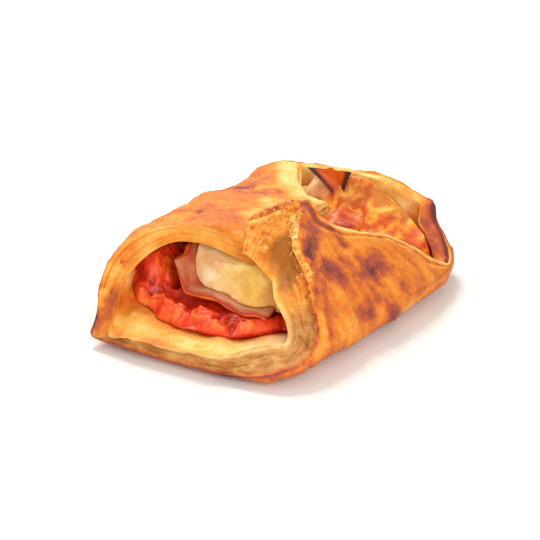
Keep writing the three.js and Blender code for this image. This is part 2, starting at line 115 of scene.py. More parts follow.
def curve(table, x):
    """Smooth curve through control values, never overshooting them."""
    xs, ys = np.asarray(table[0], float), np.asarray(table[1], float)
    x = np.clip(np.asarray(x, float), xs[0], xs[-1])
    secant = np.diff(ys) / np.diff(xs)
    product = secant[:-1] * secant[1:]
    total = np.where(product > 0, secant[:-1] + secant[1:], 1.0)
    inner = np.where(product > 0, 2 * product / total, 0.0)
    slope = np.concatenate([[secant[0]], inner, [secant[-1]]])
    i = np.clip(np.searchsorted(xs, x, side="left") - 1, 0, len(xs) - 2)
    h = xs[i + 1] - xs[i]
    t = (x - xs[i]) / h
    t2, t3 = t * t, t * t * t
    value = (2 * t3 - 3 * t2 + 1) * ys[i] + (t3 - 2 * t2 + t) * h * slope[i]
    return value + (3 * t2 - 2 * t3) * ys[i + 1] + (t3 - t2) * h * slope[i + 1]


def smooth(low, high, value):
    """Nought below low, one above high."""
    t = np.clip((np.asarray(value, float) - low) / (high - low), 0, 1)
    return t * t * (3 - 2 * t)


def fade(low, high, value):
    """One below low, nought above high."""
    return 1 - smooth(low, high, value)


def arch(t):
    """Nought at 0 and 1, one in the middle."""
    return np.sin(np.pi * t)


def crowd(t, amount):
    """Shares from 0 to 1, moved closer together towards both ends."""
    return t - amount * np.sin(2 * np.pi * t)


def bump(value, centre, width):
    """A bell round the centre, one at its top."""
    return np.exp(-(((np.asarray(value, float) - centre) / width) ** 2))


def soft_max(a, b, width):
    """The greater of two values, rounded where they are closer than width."""
    near = np.clip(1 - np.abs(a - b) / width, 0, 1)
    return np.maximum(a, b) + 0.25 * width * near * near


X_PRIME, Y_PRIME, Z_PRIME, MIX_PRIME = 374761393, 668265263, 2147483647, 1274126177


def lattice(cells, seed):
    """A repeatable random value from -1 to 1 for every whole-number cell."""
    n = cells[..., 0] * X_PRIME + cells[..., 1] * Y_PRIME + cells[..., 2] * Z_PRIME + seed * MIX_PRIME
    n = (n ^ (n >> 13)) * MIX_PRIME
    n = n ^ (n >> 16)
    return (n & 0xFFFF) / 32767.5 - 1


def noise(points, size, seed):
    """Smooth value noise of about that size in space, from -1 to 1."""
    q = np.asarray(points, float) / size
    base = np.floor(q).astype(np.int64)
    f = q - base
    f = f * f * (3 - 2 * f)
    total = 0
    for corner in range(8):
        step = np.array([corner & 1, (corner >> 1) & 1, (corner >> 2) & 1])
        weight = np.prod(np.where(step == 1, f, 1 - f), axis=-1)
        total = total + weight * lattice(base + step, seed)
    return total


def fractal(points, size, seed, octaves=3, gain=0.5):
    """Noise of that size with finer and weaker noise on it."""
    total, weight = 0, 1
    for k in range(octaves):
        total = total + weight * noise(points, size / 2 ** k, seed + 17 * k)
        weight *= gain
    return total


def ridges(points, size, seed):
    """Sharp-crested noise from 0 to 1."""
    return 1 - np.abs(fractal(points, size, seed, 2))


# The folded sheet.

def station(x):
    """The cross-section's measures at x."""
    return SimpleNamespace(**{k: curve((STATION["x"], v), x) for k, v in STATION.items() if k != "x"})


def droop(x, y):
    along = np.exp(-np.maximum(x - DROOP_FROM, 0) / DROOP_REACH)
    return DROOP_DEPTH * along * fade(-8, 14, y)


def section(x, angle, inset, floor_inset):
    """A point of the rounded cross-section at x, set in from the outer face."""
    x, angle = np.broadcast_arrays(np.asarray(x, float), np.asarray(angle, float))
    s = station(x)
    left = angle >= 0
    y_side = np.where(left, s.y_left - inset, s.y_right + inset)
    z_side = np.where(left, s.z_left, s.z_right)
    crest = np.where(left, s.crest_left, s.crest_right) - inset
    b = np.radians(np.abs(angle))
    below = b < np.pi / 2
    top_squareness = np.where(left, SHOULDER_SQUARENESS, ROOF_SQUARENESS)
    power = 2 / np.where(below, BASE_SQUARENESS, top_squareness)
    across = np.sign(np.sin(b)) * np.abs(np.sin(b)) ** power
    up = np.abs(np.cos(b)) ** power
    low = np.minimum(floor_inset, 0.75 * z_side)
    y = s.y_crest + (y_side - s.y_crest) * across
    sag = np.where(left & ~below, droop(x, y), 0)
    z = np.where(below, z_side - (z_side - low) * up, z_side + (crest - z_side) * up - sag)
    return np.stack(np.broadcast_arrays(x, y, z), -1)


def left_flap_top(x, y):
    s = station(x)
    across = np.minimum(np.abs((y - s.y_crest) / (s.y_left - s.y_crest)), 1)
    up = (1 - across ** SHOULDER_SQUARENESS) ** (1 / SHOULDER_SQUARENESS)
    return s.z_left + (s.crest_left - s.z_left) * up - droop(x, y)


def wall_share(angle):
    return smooth(-100, -86, angle) * fade(85, 125, angle)


def sheet_path(angle, w, near):
    """Where the sheet runs: along X, then round the bend and up the far wall."""
    start, end = curve(near, angle), curve(FAR_EDGE, angle)
    share = wall_share(angle)
    bend = np.maximum(WALL_BEND * share, 1e-6)
    rim = curve(FAR_RIM_HEIGHT, angle)
    climb = np.maximum(rim - section(end, angle, 0, 0)[..., 2] - bend, 0) * share
    flat = end - bend - start
    quarter = np.pi / 2 * bend
    length = flat + quarter + climb
    s = w * length
    turn = np.clip((s - flat) / bend, 0, np.pi / 2)
    straight = np.where(share > 1e-3, np.maximum(s - flat - quarter, 0), 0)
    return SimpleNamespace(
        x=np.where(s < flat, start + s, end - bend + bend * np.sin(turn)),
        lift=bend * (1 - np.cos(turn)) + straight,
        wall=share * np.sin(turn) ** 2,
        near=s,
        far=length - s,
    )


def draw_in(point, share):
    """Moves points towards the crest's line by that share of their distance."""
    middle = station(point[..., 0]).y_crest
    point[..., 1] = middle + (point[..., 1] - middle) * (1 - share)
    return point


def lean_in(point, lift):
    return draw_in(point, WALL_LEAN * smooth(0, WALL_HEIGHT, lift))


def lap_over(point, angle, over):
    """The right flap's tip lies on the left flap."""
    x, y = point[..., 0], point[..., 1]
    middle = station(x).y_crest
    rest = left_flap_top(x, y) - LAP_SINK + over
    rest = rest - LAP_FALL * fade(-7, 1, y - middle)
    rest = rest - LAP_FALL * fade(LAP_BACK - 3, LAP_BACK + 1, x)
    resting = soft_max(point[..., 2], rest, LAP_ROUND)
    point[..., 2] = np.where(angle > -150, point[..., 2], resting)
    return point


def edge_lift(angle, near, reach):
    return EDGE_LIFT * np.exp(-near / reach) * smooth(-95, -70, angle) * fade(40, 78, angle)


def blisters(x, angle):
    on_side = smooth(60, 95, np.abs(angle)) * fade(158, 172, np.abs(angle))
    return on_side * (0.55 * np.sin(x / 8 + angle / 19) + 0.4 * np.sin(x / 4.7 - angle / 13 + 1.3))


def press_flat(z):
    return np.where(z > 2 * BASE_PRESS, z, np.maximum(2 * (z - BASE_PRESS), 0))


def outer_point(angle, w):
    path = sheet_path(angle, w, NEAR_OUTER)
    point = section(path.x, angle, -blisters(path.x, angle) * (1 - path.wall), 0)
    point[..., 2] = press_flat(point[..., 2] + path.lift + edge_lift(angle, path.near, 2.5))
    return lap_over(lean_in(point, path.lift), angle, 2.5), path


def thickness(angle, near, far):
    body = curve(BODY_THICK, angle)
    at_near = (curve(NEAR_THICK, angle) - body) * np.exp(-near / NEAR_THICK_REACH)
    at_far = (curve(FAR_THICK, angle) - body) * np.exp(-far / FAR_THICK_REACH)
    return body + at_near + at_far


def inner_point(angle, w):
    path = sheet_path(angle, w, NEAR_INNER)
    t = thickness(angle, path.near, path.far)
    point = section(path.x, angle, t, t * (1 - path.wall))
    point = draw_in(point, TIP_NARROWING * smooth(-180, -200, angle))
    point[..., 0] -= t * path.wall
    point[..., 2] += path.lift + edge_lift(angle, path.near, 6)
    return lap_over(lean_in(point, path.lift), angle, 0), path


ANGLE_SAMPLES = 2401


def even_angles(start, end, count):
    """Angles round the section, spaced evenly by length."""
    fine = np.linspace(start, end, ANGLE_SAMPLES)
    p = section(0.0, fine, 0, 0)
    length = np.concatenate([[0], np.cumsum(np.linalg.norm(np.diff(p, axis=0), axis=1))])
    return np.interp(np.linspace(0, length[-1], count), length, fine)


# Mesh helpers.

def new_object(name, points, faces):
    mesh = bpy.data.meshes.new(name)
    mesh.from_pydata(((np.asarray(points) + SHIFT) * MM).tolist(), [], faces)
    mesh.update()
    obj = bpy.data.objects.new(name, mesh)
    bpy.context.scene.collection.objects.link(obj)
    return obj


def points_of(obj):
    co = np.zeros(len(obj.data.vertices) * 3)
    obj.data.vertices.foreach_get("co", co)
    return co.reshape(-1, 3) / MM - SHIFT


def set_points(obj, points):
    obj.data.vertices.foreach_set("co", ((points + SHIFT) * MM).ravel())
    obj.data.update()


def normals_of(obj):
    n = np.zeros(len(obj.data.vertices) * 3, np.float32)
    obj.data.vertex_normals.foreach_get("vector", n)
    return n.reshape(-1, 3).astype(float)


def set_value(obj, name, values):
    """Stores values from 0 to 1 at the points, for the materials."""
    attribute = obj.data.attributes.new(name, "FLOAT", "POINT")
    attribute.data.foreach_set("value", np.clip(values, 0, 1).astype(np.float32))


def ring_faces(rings, size):
    """Quads between neighbouring rings."""
    i, j = np.meshgrid(np.arange(rings - 1), np.arange(size), indexing="ij")
    k = (j + 1) % size
    quads = np.stack([i * size + j, (i + 1) * size + j, (i + 1) * size + k, i * size + k], -1)
    return quads.reshape(-1, 4).tolist()


def close_ends(points, faces, rings, size):
    """A fan over each end of a tube of rings."""
    last = (rings - 1) * size
    middles = [points[:size].mean(axis=0), points[last:].mean(axis=0)]
    for j in range(size):
        k = (j + 1) % size
        faces += [(len(points), j, k), (len(points) + 1, last + k, last + j)]
    return np.concatenate([points, middles]), faces


def closed_solid(name, points, faces):
    """An object whose faces look outwards."""
    obj = new_object(name, points, faces)
    bm = bmesh.new()
    bm.from_mesh(obj.data)
    if bm.calc_volume(signed=True) < 0:
        obj.data.flip_normals()
    bm.free()
    return obj


def ring_solid(name, rings):
    """A closed skin over an array of rings, rings x points x 3."""
    count, size = rings.shape[:2]
    return closed_solid(name, *close_ends(rings.reshape(-1, 3), ring_faces(count, size), count, size))


# The pastry's skin: outer face, far edge, inner face and near cut edge, in rings round the parcel.

COLUMNS = 400
OUTER_STEPS = 130
INNER_STEPS = 44
NEAR_ROWS = 50
FAR_ROWS = 22
RELAX_ROUNDS, NORMAL_ROUNDS = 36, 6
OUTER, FAR_CUT, INNER, NEAR_CUT = range(4)
# The distance to an edge given to points at the other end of the parcel.
NOWHERE_NEAR = 60
APEX = np.array([-5.0, -14.0, 42.0])
# The hollow under the folded tip: its middle, the way it runs, its half length and half width.
POCKET_MIDDLE = np.array([-27.0, -19.3, 28.6])
POCKET_RUN = np.array([-0.27, -0.30, -0.91])
POCKET_INTO = np.array([0.90, 0.42, 0.10])
POCKET_ACROSS = np.array([0.49, -0.87, 0.0])
POCKET_LENGTH, POCKET_WIDTH, POCKET_DEPTH = 11.0, 5.8, 4.2
# Small holes between the crest and the hollow: middle and radius.
HOLES = (((-21.5, -14.5, 37.6), 1.1), ((-17.0, -18.0, 38.2), 1.0), ((-19.5, -16.5, 37.0), 0.8))


def shares(steps):
    return crowd(np.arange(steps + 1) / steps, 0.08)


def between(a, b, t):
    return a[:, None] + (b - a)[:, None] * t[..., None]


def edge_normals(inner, outer):
    middle = (inner + outer) / 2
    along = np.gradient(middle, axis=0)
    normal = np.cross(outer - inner, along)
    for _ in range(NORMAL_ROUNDS):
        normal[1:-1] = (normal[:-2] + 2 * normal[1:-1] + normal[2:]) / 4
    return normal / np.linalg.norm(normal, axis=-1, keepdims=True)


def near_relief(angle, share):
    """How far the near edge bulges out."""
    return (0.8 + 1.8 * smooth(85, 120, angle)) * arch(share)


def in_pocket(p):
    """One in the middle of the hollow under the folded tip, nought outside it."""
    along = (p - POCKET_MIDDLE) @ POCKET_RUN / POCKET_LENGTH
    across = (p - POCKET_MIDDLE) @ POCKET_ACROSS / POCKET_WIDTH
    return fade(0.30, 1.20, np.hypot(along, across))


def far_relief(angle, share):
    """The rounding of the wall's rim, and the thick soft roll that ends the left flap."""
    roll = 5.0 * smooth(126, 146, angle) * (1 - 0.6 * smooth(172, 180, angle))
    return -0.6 * arch(share) - roll * arch(share) ** 0.7


def relax(rings, weight, rounds):
    """Evens out creases where the weight says so."""
    for _ in range(rounds):
        around = (np.roll(rings, 1, axis=1) + np.roll(rings, -1, axis=1)) / 2
        along = rings.copy()
        along[1:-1] = (rings[:-2] + rings[2:]) / 2
        rings = rings + weight[..., None] * ((around + along) / 2 - rings)
    return rings


def whole_skin(outer, far, inner, near):
    """Values of the skin's four parts as one array, rings x points."""
    counts = (OUTER_STEPS + 1, FAR_ROWS - 1, INNER_STEPS + 1, NEAR_ROWS - 1)
    parts = zip((outer, far, inner, near), counts)
    return np.concatenate([np.broadcast_to(v, (COLUMNS + 1, count)) for v, count in parts], axis=1)


def softness(skin):
    """Where creases are evened out: by the tip, at the left flap's end and on its near rim."""
    close_to_tip = fade(-174, -156, skin.angle) * fade(2, 9, skin.near)
    flap_end = smooth(126, 146, skin.angle) * fade(2, 6, skin.far)
    left_roll = smooth(50, 75, skin.angle) * fade(0.5, 3, skin.near)
    return np.maximum(0.8 * close_to_tip, 0.7 * np.maximum(flap_end, left_roll))


def skin_rings():
    """The smooth skin, with what each point of it belongs to."""
    angles = even_angles(TIP_ANGLE, TUCK_ANGLE, COLUMNS + 1)[:, None]
    outer, outer_path = outer_point(angles, shares(OUTER_STEPS)[None, :])
    inner, inner_path = inner_point(angles, shares(INNER_STEPS)[None, :])
    far_share = (np.arange(1, FAR_ROWS) / FAR_ROWS)[None, :]
    near_share = (np.arange(1, NEAR_ROWS) / NEAR_ROWS)[None, :]
    far = between(outer[:, -1], inner[:, -1], far_share)
    far = far + edge_normals(outer[:, -1], inner[:, -1])[:, None] * far_relief(angles, far_share)[..., None]
    near = between(inner[:, 0], outer[:, 0], near_share)
    near = near + edge_normals(inner[:, 0], outer[:, 0])[:, None] * near_relief(angles, near_share)[..., None]
    near = lap_over(near, angles, 0.3 + 2.2 * near_share)
    skin = SimpleNamespace(
        angle=whole_skin(angles, angles, angles, angles),
        part=whole_skin(OUTER, FAR_CUT, INNER, NEAR_CUT),
        share=whole_skin(1, 1 - far_share, 0, near_share),
        near=whole_skin(outer_path.near, NOWHERE_NEAR, inner_path.near[:, ::-1], 0),
        far=whole_skin(outer_path.far, 0, inner_path.far[:, ::-1], NOWHERE_NEAR),
    )
    rings = np.concatenate([outer, far, inner[:, ::-1], near], axis=1)
    return relax(rings, softness(skin), RELAX_ROUNDS), skin


def groove_lines(p):
    """Grooves in the crust that fan out from the folded tip, from 0 to 1."""
    away = p - APEX
    reach = np.hypot(away[..., 0], away[..., 1])
    turn = np.arctan2(away[..., 1], away[..., 0])
    fan = np.stack([turn * 6, reach / 30, p[..., 2] / 40], -1)
    fan = fan + 0.15 * noise(p, 8, 35)[..., None]
    return smooth(0.70, 1.0, ridges(fan, 1.0, 31)) * smooth(4, 16, reach) * fade(50, 75, reach)


def crust_relief(p):
    """Swellings, lifted leaves and grooves."""
    leaf = fractal(p * [1, 1, 0.7], 10, 33, 3)
    leaves = smooth(0.00, 0.07, leaf) + smooth(0.38, 0.45, leaf) + smooth(-0.45, -0.39, leaf)
    swell = 0.7 * fractal(p, 15, 32, 2) + 0.40 * fractal(p, 6, 36, 2)
    return swell - 0.45 * groove_lines(p) + 0.30 * leaves + 0.17 * fractal(p, 2.2, 34, 3)


def leaf_flow(p, angle, share):
    """Coordinates that follow the leaves of dough along the cut edge."""
    return np.stack([share * 6 + 0.6 * noise(p, 9, 41) + 0.3 * noise(p, 2.2, 40), angle / 20, 0 * share], -1)


def cut_relief(p, angle, share):
    """Torn leaves and crumbs along the near cut edge."""
    flow = leaf_flow(p, angle, share)
    leaves = (ridges(flow, 1.0, 42) - 0.5) * arch(np.clip(share, 0, 1)) ** 0.5
    rough = bump(angle, -112, 26) * smooth(0.2, 0.5, share)
    rim = smooth(0.62, 0.82, share) * fade(-140, -120, angle)
    smooth_side = smooth(68, 92, angle)
    crumbs = fractal(p, 1.7, 43, 3)
    leafy = smooth(-150, -130, angle)
    torn = 0.65 * leaves * leafy + 0.9 * crumbs * rough + 1.1 * crumbs * rim
    holes = sum(bump(np.linalg.norm(p - np.array(at), axis=-1), 0, r) for at, r in HOLES)
    return torn * (1 - smooth_side) - 1.8 * holes


def creases(skin):
    """Fine lines where the roll of dough folds, and where the lip meets the cut edge."""
    on_roll = smooth(88, 105, skin.angle) * (skin.part == NEAR_CUT)
    roll = bump(skin.share, 0.80, 0.03) + 0.6 * bump(skin.share, 0.46, 0.03)
    on_flap_end = smooth(130, 145, skin.angle) * (skin.part == FAR_CUT)
    double_roll = on_flap_end * bump(skin.share, 0.55, 0.09)
    on_lip = (skin.part == INNER) * smooth(-110, -85, skin.angle) * fade(30, 60, skin.angle)
    return on_roll * roll + on_lip * bump(skin.near, 2.2, 0.6) + 1.8 * double_roll


def pleats(p, angle, share):
    """Folds of soft dough that hang from the tip towards the filling."""
    hang = fade(-190, -176, angle) * fade(0.75, 0.95, share)
    return hang * (0.35 + 0.3 * noise(p, 4, 46)) * np.sin(1.1 * angle + 4 * noise(p, 6, 45))


def torn_rim(skin):
    """One along the crust's torn near rim, from the folded tip down the right flap."""
    on_rim = (skin.part == OUTER) * fade(1.6, 3.4, skin.near)
    return on_rim * fade(-140, -122, skin.angle)


def skin_relief(p, skin):
    angle, share, part = skin.angle, skin.share, skin.part
    off_base = smooth(0.6, 4, p[..., 2])
    outer = crust_relief(p) * (part == OUTER) * smooth(0, 2, skin.near) * off_base
    near = (cut_relief(p, angle, share) + pleats(p, angle, share)) * (part == NEAR_CUT)
    far = 0.35 * fractal(p, 3, 47, 2) * (part == FAR_CUT)
    wall = 0.7 * fractal(p, 6, 48, 3) * (part == INNER) * smooth(2, 6, skin.near)
    return outer + near + far + wall - 0.5 * creases(skin) + 0.9 * fractal(p, 1.5, 49, 2) * torn_rim(skin)


# Where the crust is browned, pale or stained: two ends of a stroke, its radius and its strength.
BURNT = (
    ((-5, -15, 41), (-4, -18, 40), 3.8, 0.56),
    ((-5, -19, 39), (-10, -21, 37), 3.6, 0.42),
    ((-15, -23, 35), (-21, -25, 32), 2.6, 0.42),
    ((-4, -23, 36), (-5, -30, 31), 1.8, 0.30),
    ((-19, -32, 27), (-17, -35, 25), 3.4, 0.30),
    ((-11, -34, 27), (-9, -37, 24), 2.4, 0.24),
    ((-4, -39, 23), (1, -39, 23), 4.2, 0.38),
    ((-5, -41, 20), (-5, -42, 19), 3.4, 0.28),
    ((-8, -43, 18), (-9, -45, 16), 2.6, 0.20),
    ((-14, -45, 13), (-18, -44, 12), 2.6, 0.26),
    ((-4, -49, 10), (-3, -49, 9), 3.0, 0.36),
    ((8, -49, 13), (11, -49, 13), 4.0, 0.14),
    ((-22, -27, 32), (-28, -34, 23), 2.2, 0.22),
    ((-28, -34, 23), (-36, -41, 13), 2.6, 0.18),
    ((22, 27, 33), (24, 22, 33), 2.6, 0.26),
    ((20, 14, 34), (26, 7, 34), 2.6, 0.16),
    ((-18, 37, 30), (-13, 30, 33), 1.2, 0.18),
    ((-13, 30, 33), (-14, 20, 35), 1.0, 0.18),
    ((-49, 33, 12), (-47, 28, 7), 5.0, 0.30),
    ((-56, 36, 8), (-50, 31, 7), 4.5, 0.30),
    ((-57, 37, 7), (-54, 34, 14), 4.0, 0.28),
    ((-58, 25, 8), (-52, 24, 8), 4.5, 0.20),
    ((-58, 10, 8), (-50, 12, 8), 4.5, 0.12),
    ((-56, 38, 9), (-57, 38, 7), 1.3, 0.6),
    ((-44, 35, 25), (-43, 34, 24), 3.6, 0.12),
    ((-43.8, 34.3, 24.6), (-43.5, 34.0, 24.5), 0.8, 0.5),
    ((47, -42, 17), (56, -41, 22), 6.0, 0.28),
    ((50, -47, 15), (57, -44, 20), 5.0, 0.28),
    ((58, -36, 27), (57, -41, 23), 2.5, 0.30),
)
PALE = (
    ((7, 4, 35), (2, 0, 36), 5.0, 0.32),
    ((-2, 1, 36), (-10, 2, 36), 4.0, 0.28),
    ((22, 19, 33), (23, 15, 33), 3.0, 0.18),
    ((-2, -50, 4), (16, -51, 5), 2.6, 0.30),
    ((-52.5, 36, 17), (-54, 37, 13), 1.2, 0.30),
    ((-26, -32, 26), (-40, -42, 12), 1.2, 0.12),
    ((30, -36, 26), (55, -47, 14), 1.6, 0.22),
)
STAINED = (
    ((-20, 10, 36), (-19, 11, 36), 2.2, 0.55),
    ((-22, 4, 35), (-22, 3, 35), 2.0, 0.45),
    ((-4, -16, 41), (-12, -22, 37), 5.0, 0.30),
    ((-48, 34, 26), (-44, 36, 27), 3.0, 0.12),
)


def stroke(p, start, end, radius):
    """One inside a stroke from start to end, fading over an uneven border."""
    start, end = np.asarray(start, float), np.asarray(end, float)
    run = end - start
    t = np.clip(((p - start) @ run) / max(run @ run, 1e-6), 0, 1)
    gap = np.linalg.norm(p - (start + t[..., None] * run), axis=-1)
    gap = gap + radius * 0.60 * fractal(p, 0.7 * radius + 1, 61, 4)
    return fade(0, 2.0 * radius, gap)


def strokes(p, table):
    """The strongest of a table's strokes at each point."""
    total = np.zeros(p.shape[:-1])
    for start, end, radius, strength in table:
        total = np.maximum(total, strength * stroke(p, start, end, radius))
    return total


def outer_bake(p, skin):
    """How brown the crust is: 0 raw and pale, 1 charred."""
    bake = 0.60 + 0.09 * fractal(p, 15, 51, 3) + 0.06 * fractal(p, 3.5, 52, 3)
    on_crest = fade(-190, -180, skin.angle)
    rim = torn_rim(skin) * (1 + fractal(p, 2, 50, 2))
    # Darker along the grooves as painted shade in them.
    bake = bake + 0.05 * groove_lines(p) + rim * (0.18 * on_crest - 0.30 * (1 - on_crest))
    bake = bake + 0.15 * fade(3, 12, p[..., 2])
    bake = bake + 0.16 * fade(0, 1.6, skin.near) * (p[..., 2] < 16)
    on_right = fade(-100, -80, skin.angle)
    bake = bake - (0.12 + 0.22 * on_right) * fade(0.8, 2.6, skin.far)
    bake = bake + on_right * (0.14 * bump(skin.far, 3.6, 0.7) - 0.16 * bump(skin.far, 5.2, 0.9))
    bake = bake - 0.24 * fade(3, 8, skin.far) * smooth(132, 150, skin.angle)
    return bake


def cut_bake(p, skin):
    """The torn near edge: pale leaves with darker lines between them."""
    angle, share = skin.angle, skin.share
    leaves = ridges(leaf_flow(p, angle, share), 1.0, 42)
    strip = 0.54 - 0.15 * (leaves - 0.5) + 0.06 * fractal(p, 4, 53, 3)
    strip = strip + 0.24 * smooth(0.80, 0.97, share) - 0.26 * bump(share, 0.08, 0.09)
    tip = 0.52 + 0.08 * fractal(p, 5, 58, 3) + 0.12 * fractal(p, 1.6, 59, 2)
    tip = tip - 0.16 * smooth(0.76, 0.9, share)
    left = 0.33 + 0.14 * (1 - share) + 0.15 * fractal(p, 7, 54, 3) + 0.26 * fade(100, 128, angle)
    on_tip, on_left = fade(-160, -135, angle), smooth(75, 100, angle)
    return strip + (tip - strip) * on_tip + (left - strip) * on_left


def crumb_share(skin):
    """Where the dough is cut open, so that its crumb shows instead of its crust."""
    angle, share = skin.angle, skin.share
    strip = smooth(-135, -112, angle) * fade(70, 84, angle)
    return strip * smooth(0.0, 0.06, share) * fade(0.80, 0.97, share) * (skin.part == NEAR_CUT)


def inner_bake(p, skin):
    """The inside of the sheet: golden, lightened as painted light where it lies in shade, most at the lip's
    right end and the wall's left one.
    """
    lip = 0.29 + 0.08 * fractal(p, 9, 55, 3) + 0.06 * fractal(p, 2.5, 60, 2)
    painted_light_at_right = fade(-30, -8, p[..., 1])
    # Painted light: the lip's right end is made paler where it lies in shade.
    lip = lip - 0.24 * painted_light_at_right + 0.10 * fade(0, 8, skin.near) * (1 - painted_light_at_right)
    # Painted light: the wall's left part is made paler where it lies in shade.
    wall = 0.26 + 0.20 * fractal(p, 6, 56, 3) - 0.22 * smooth(20, 60, skin.angle)
    return lip + (wall - lip) * smooth(20, 45, p[..., 0])


def far_bake(p, skin):
    """The far edge: a pale roll on the left flap, a thin browned rim on the wall."""
    on_left_flap = smooth(126, 145, skin.angle)
    at_corner = fade(-72, -48, skin.angle)
    rim = 0.38 + 0.34 * smooth(0.55, 0.95, skin.share) + 0.20 * at_corner + 0.12 * fractal(p, 4, 62, 2)
    return rim + (0.26 - rim) * on_left_flap


CRUMB_COUNT, CRUMB_SIZE, CRUMB_SINK = 150, np.array([0.62, 0.42, 0.26]), 0.05


def crumb_mesh(size, rng):
    """A small broken lump, its points and faces."""
    bm = bmesh.new()
    bmesh.ops.create_icosphere(bm, subdivisions=2, radius=1.0)
    points = np.array([v.co[:] for v in bm.verts])
    faces = [[v.index for v in face.verts] for face in bm.faces]
    bm.free()
    points = points * (1 + 0.5 * noise(points + 9 * rng.random(3), 0.7, 91)[:, None]) * size
    turn = np.linalg.qr(rng.normal(size=(3, 3)))[0]
    return points @ turn, faces


def crumbs(shell, skin):
    """Loose crumbs along the torn rim."""
    rng = np.random.default_rng(7)
    p, normal = points_of(shell), normals_of(shell)
    cut_rim = (skin.part == NEAR_CUT) * smooth(0.66, 0.85, skin.share)
    cut_rim = cut_rim * fade(-140, -105, skin.angle)
    chance = torn_rim(skin) + 1.6 * cut_rim
    points, faces, tones = [], [], []
    for i in rng.choice(len(p), CRUMB_COUNT, p=chance / chance.sum()):
        lump, lump_faces = crumb_mesh(CRUMB_SIZE * rng.uniform(0.5, 1.15, 3), rng)
        start = len(lump) * len(points)
        points.append(p[i] + CRUMB_SINK * normal[i] + lump)
        faces += [[start + k for k in face] for face in lump_faces]
        tones += [rng.uniform(0.24, 0.72)] * len(lump)
    obj = new_object("pastry_crumbs", np.concatenate(points), faces)
    set_value(obj, "bake", tones)
    for name in ("oily_and_shaded", "stain", "crumb"):
        set_value(obj, name, np.zeros(len(tones)))
    return obj


def round_pocket(skin):
    """The skin before and behind the hollow: the tip's cut face and the inner face under it."""
    on_face = smooth(0.02, 0.30, skin.share) * (skin.part == NEAR_CUT)
    under_face = smooth(0.5, 4, skin.near) * fade(8, 16, skin.near) * (skin.part == INNER)
    return on_face, under_face


def pastry_bake(p, skin):
    """How brown each point of the skin is, with painted shade darkening its creases."""
    part = skin.part
    bake = np.select([part == OUTER, part == NEAR_CUT, part == INNER],
                     [outer_bake(p, skin), cut_bake(p, skin), inner_bake(p, skin)], far_bake(p, skin))
    # The creases are darkened as painted shade.
    return bake + 0.95 * strokes(p, BURNT) - strokes(p, PALE) + 0.16 * creases(skin)


def pastry_stain(p, skin):
    """Where sauce has soaked in: spots on the crust, the wall, the room and the lip before the sauce."""
    x, y, z = p.T
    inside = skin.part == INNER
    wall = smooth(48, 53, x) * inside
    stain = strokes(p, STAINED) + wall * (0.35 + 0.6 * fractal(p, 6, 57, 2)) * fade(28, 34, z)
    stain = stain + 0.45 * inside * (1 - wall) * smooth(10, 18, skin.near)
    before_sauce = sauce_front(y) - x + 1.6 * fractal(p, 4, 63, 3)
    smear = inside * (1 - wall) * fade(0, 6, before_sauce) * fade(13, 19, z)
    return stain + 0.65 * smear


def pastry():
    """The dressed sheet and its crumbs."""
    rings, skin = skin_rings()
    obj = ring_solid("pastry_shell", rings)
    skin = SimpleNamespace(**{k: np.append(v, (v[0, 0], v[-1, -1])) for k, v in vars(skin).items()})
    p = points_of(obj)
    on_face, under_face = round_pocket(skin)
    hollow = POCKET_DEPTH * in_pocket(p) * (on_face + 1.3 * under_face)
    set_points(obj, p + normals_of(obj) * skin_relief(p, skin)[:, None] + POCKET_INTO * hollow[:, None])
    # Greasy dough in the hollow under the folded tip; its darker colour is partly painted shade of the
    # hollow.
    oily_and_shaded = smooth(0, 0.6, in_pocket(p)) * (on_face + under_face)
    set_value(obj, "bake", pastry_bake(p, skin))
    set_value(obj, "oily_and_shaded", oily_and_shaded)
    set_value(obj, "stain", pastry_stain(p, skin))
    set_value(obj, "crumb", crumb_share(skin))
    return obj, crumbs(obj, skin)


# The room inside the folded sheet, and how solids are cut to fit in it.

ROOM_FROM, ROOM_TO, ROOM_RINGS, ROOM_COLUMNS = -54, 54.2, 90, 240
FOLD_GAP, NO_CEILING, ROOM_NARROWING = 0.8, 1e3, 0.24
# How much higher fillings may stand where no flap lies over them.
OPEN_RISE, OPEN_FROM = 8, 22


def room_point(x, angle):
    start, end = curve(NEAR_INNER, angle), curve(FAR_EDGE, angle)
    near, far = np.maximum(x - start, 0), np.maximum(end - x, 0)
    t = thickness(angle, near, far) + GAP + FOLD_GAP * bump(angle, -90, 17)
    point = section(x, angle, t, t)
    tuck = thickness(180, np.maximum(x + 26, 0), np.maximum(18 - x, 0))
    ceiling = section(x, 180, tuck + 2 * GAP, 0)[..., 2]
    ceiling = np.where(np.abs(angle) > 90, ceiling, NO_CEILING)
    point[..., 2] = np.minimum(point[..., 2], ceiling)
    behind_flaps = x - np.maximum(end, OPEN_FROM)
    point[..., 2] += OPEN_RISE * smooth(0, 7, behind_flaps) * smooth(96, 125, np.abs(angle))
    point[..., 2] += np.where(np.abs(angle) < 90, edge_lift(angle, near, 6), 0)
    return draw_in(point, ROOM_NARROWING * smooth(42, 54, x))


def room():
    angles = even_angles(-180, 180, ROOM_COLUMNS + 1)[:-1]
    x = np.linspace(ROOM_FROM, ROOM_TO, ROOM_RINGS + 1)[:, None]
    return ring_solid("room", room_point(x, angles[None, :]))


# The least thickness of a slab of filling, and how many quads it has along.
SLAB_LEAST, SLAB_ROWS, CHEESE_COLUMNS = 0.4, 200, 160


def slab(name, patch, bottom, top, across=SLAB_ROWS):
    """A closed solid between two height fields over a patch of the plan."""
    u, v = np.meshgrid(np.arange(SLAB_ROWS + 1) / SLAB_ROWS, np.arange(across + 1) / across, indexing="ij")
    x, y = patch(u, v)
    low = bottom(x, y)
    high = np.maximum(top(x, y), low + SLAB_LEAST)
    return sandwich(name, np.stack([x, y, low], -1), np.stack([x, y, high], -1))


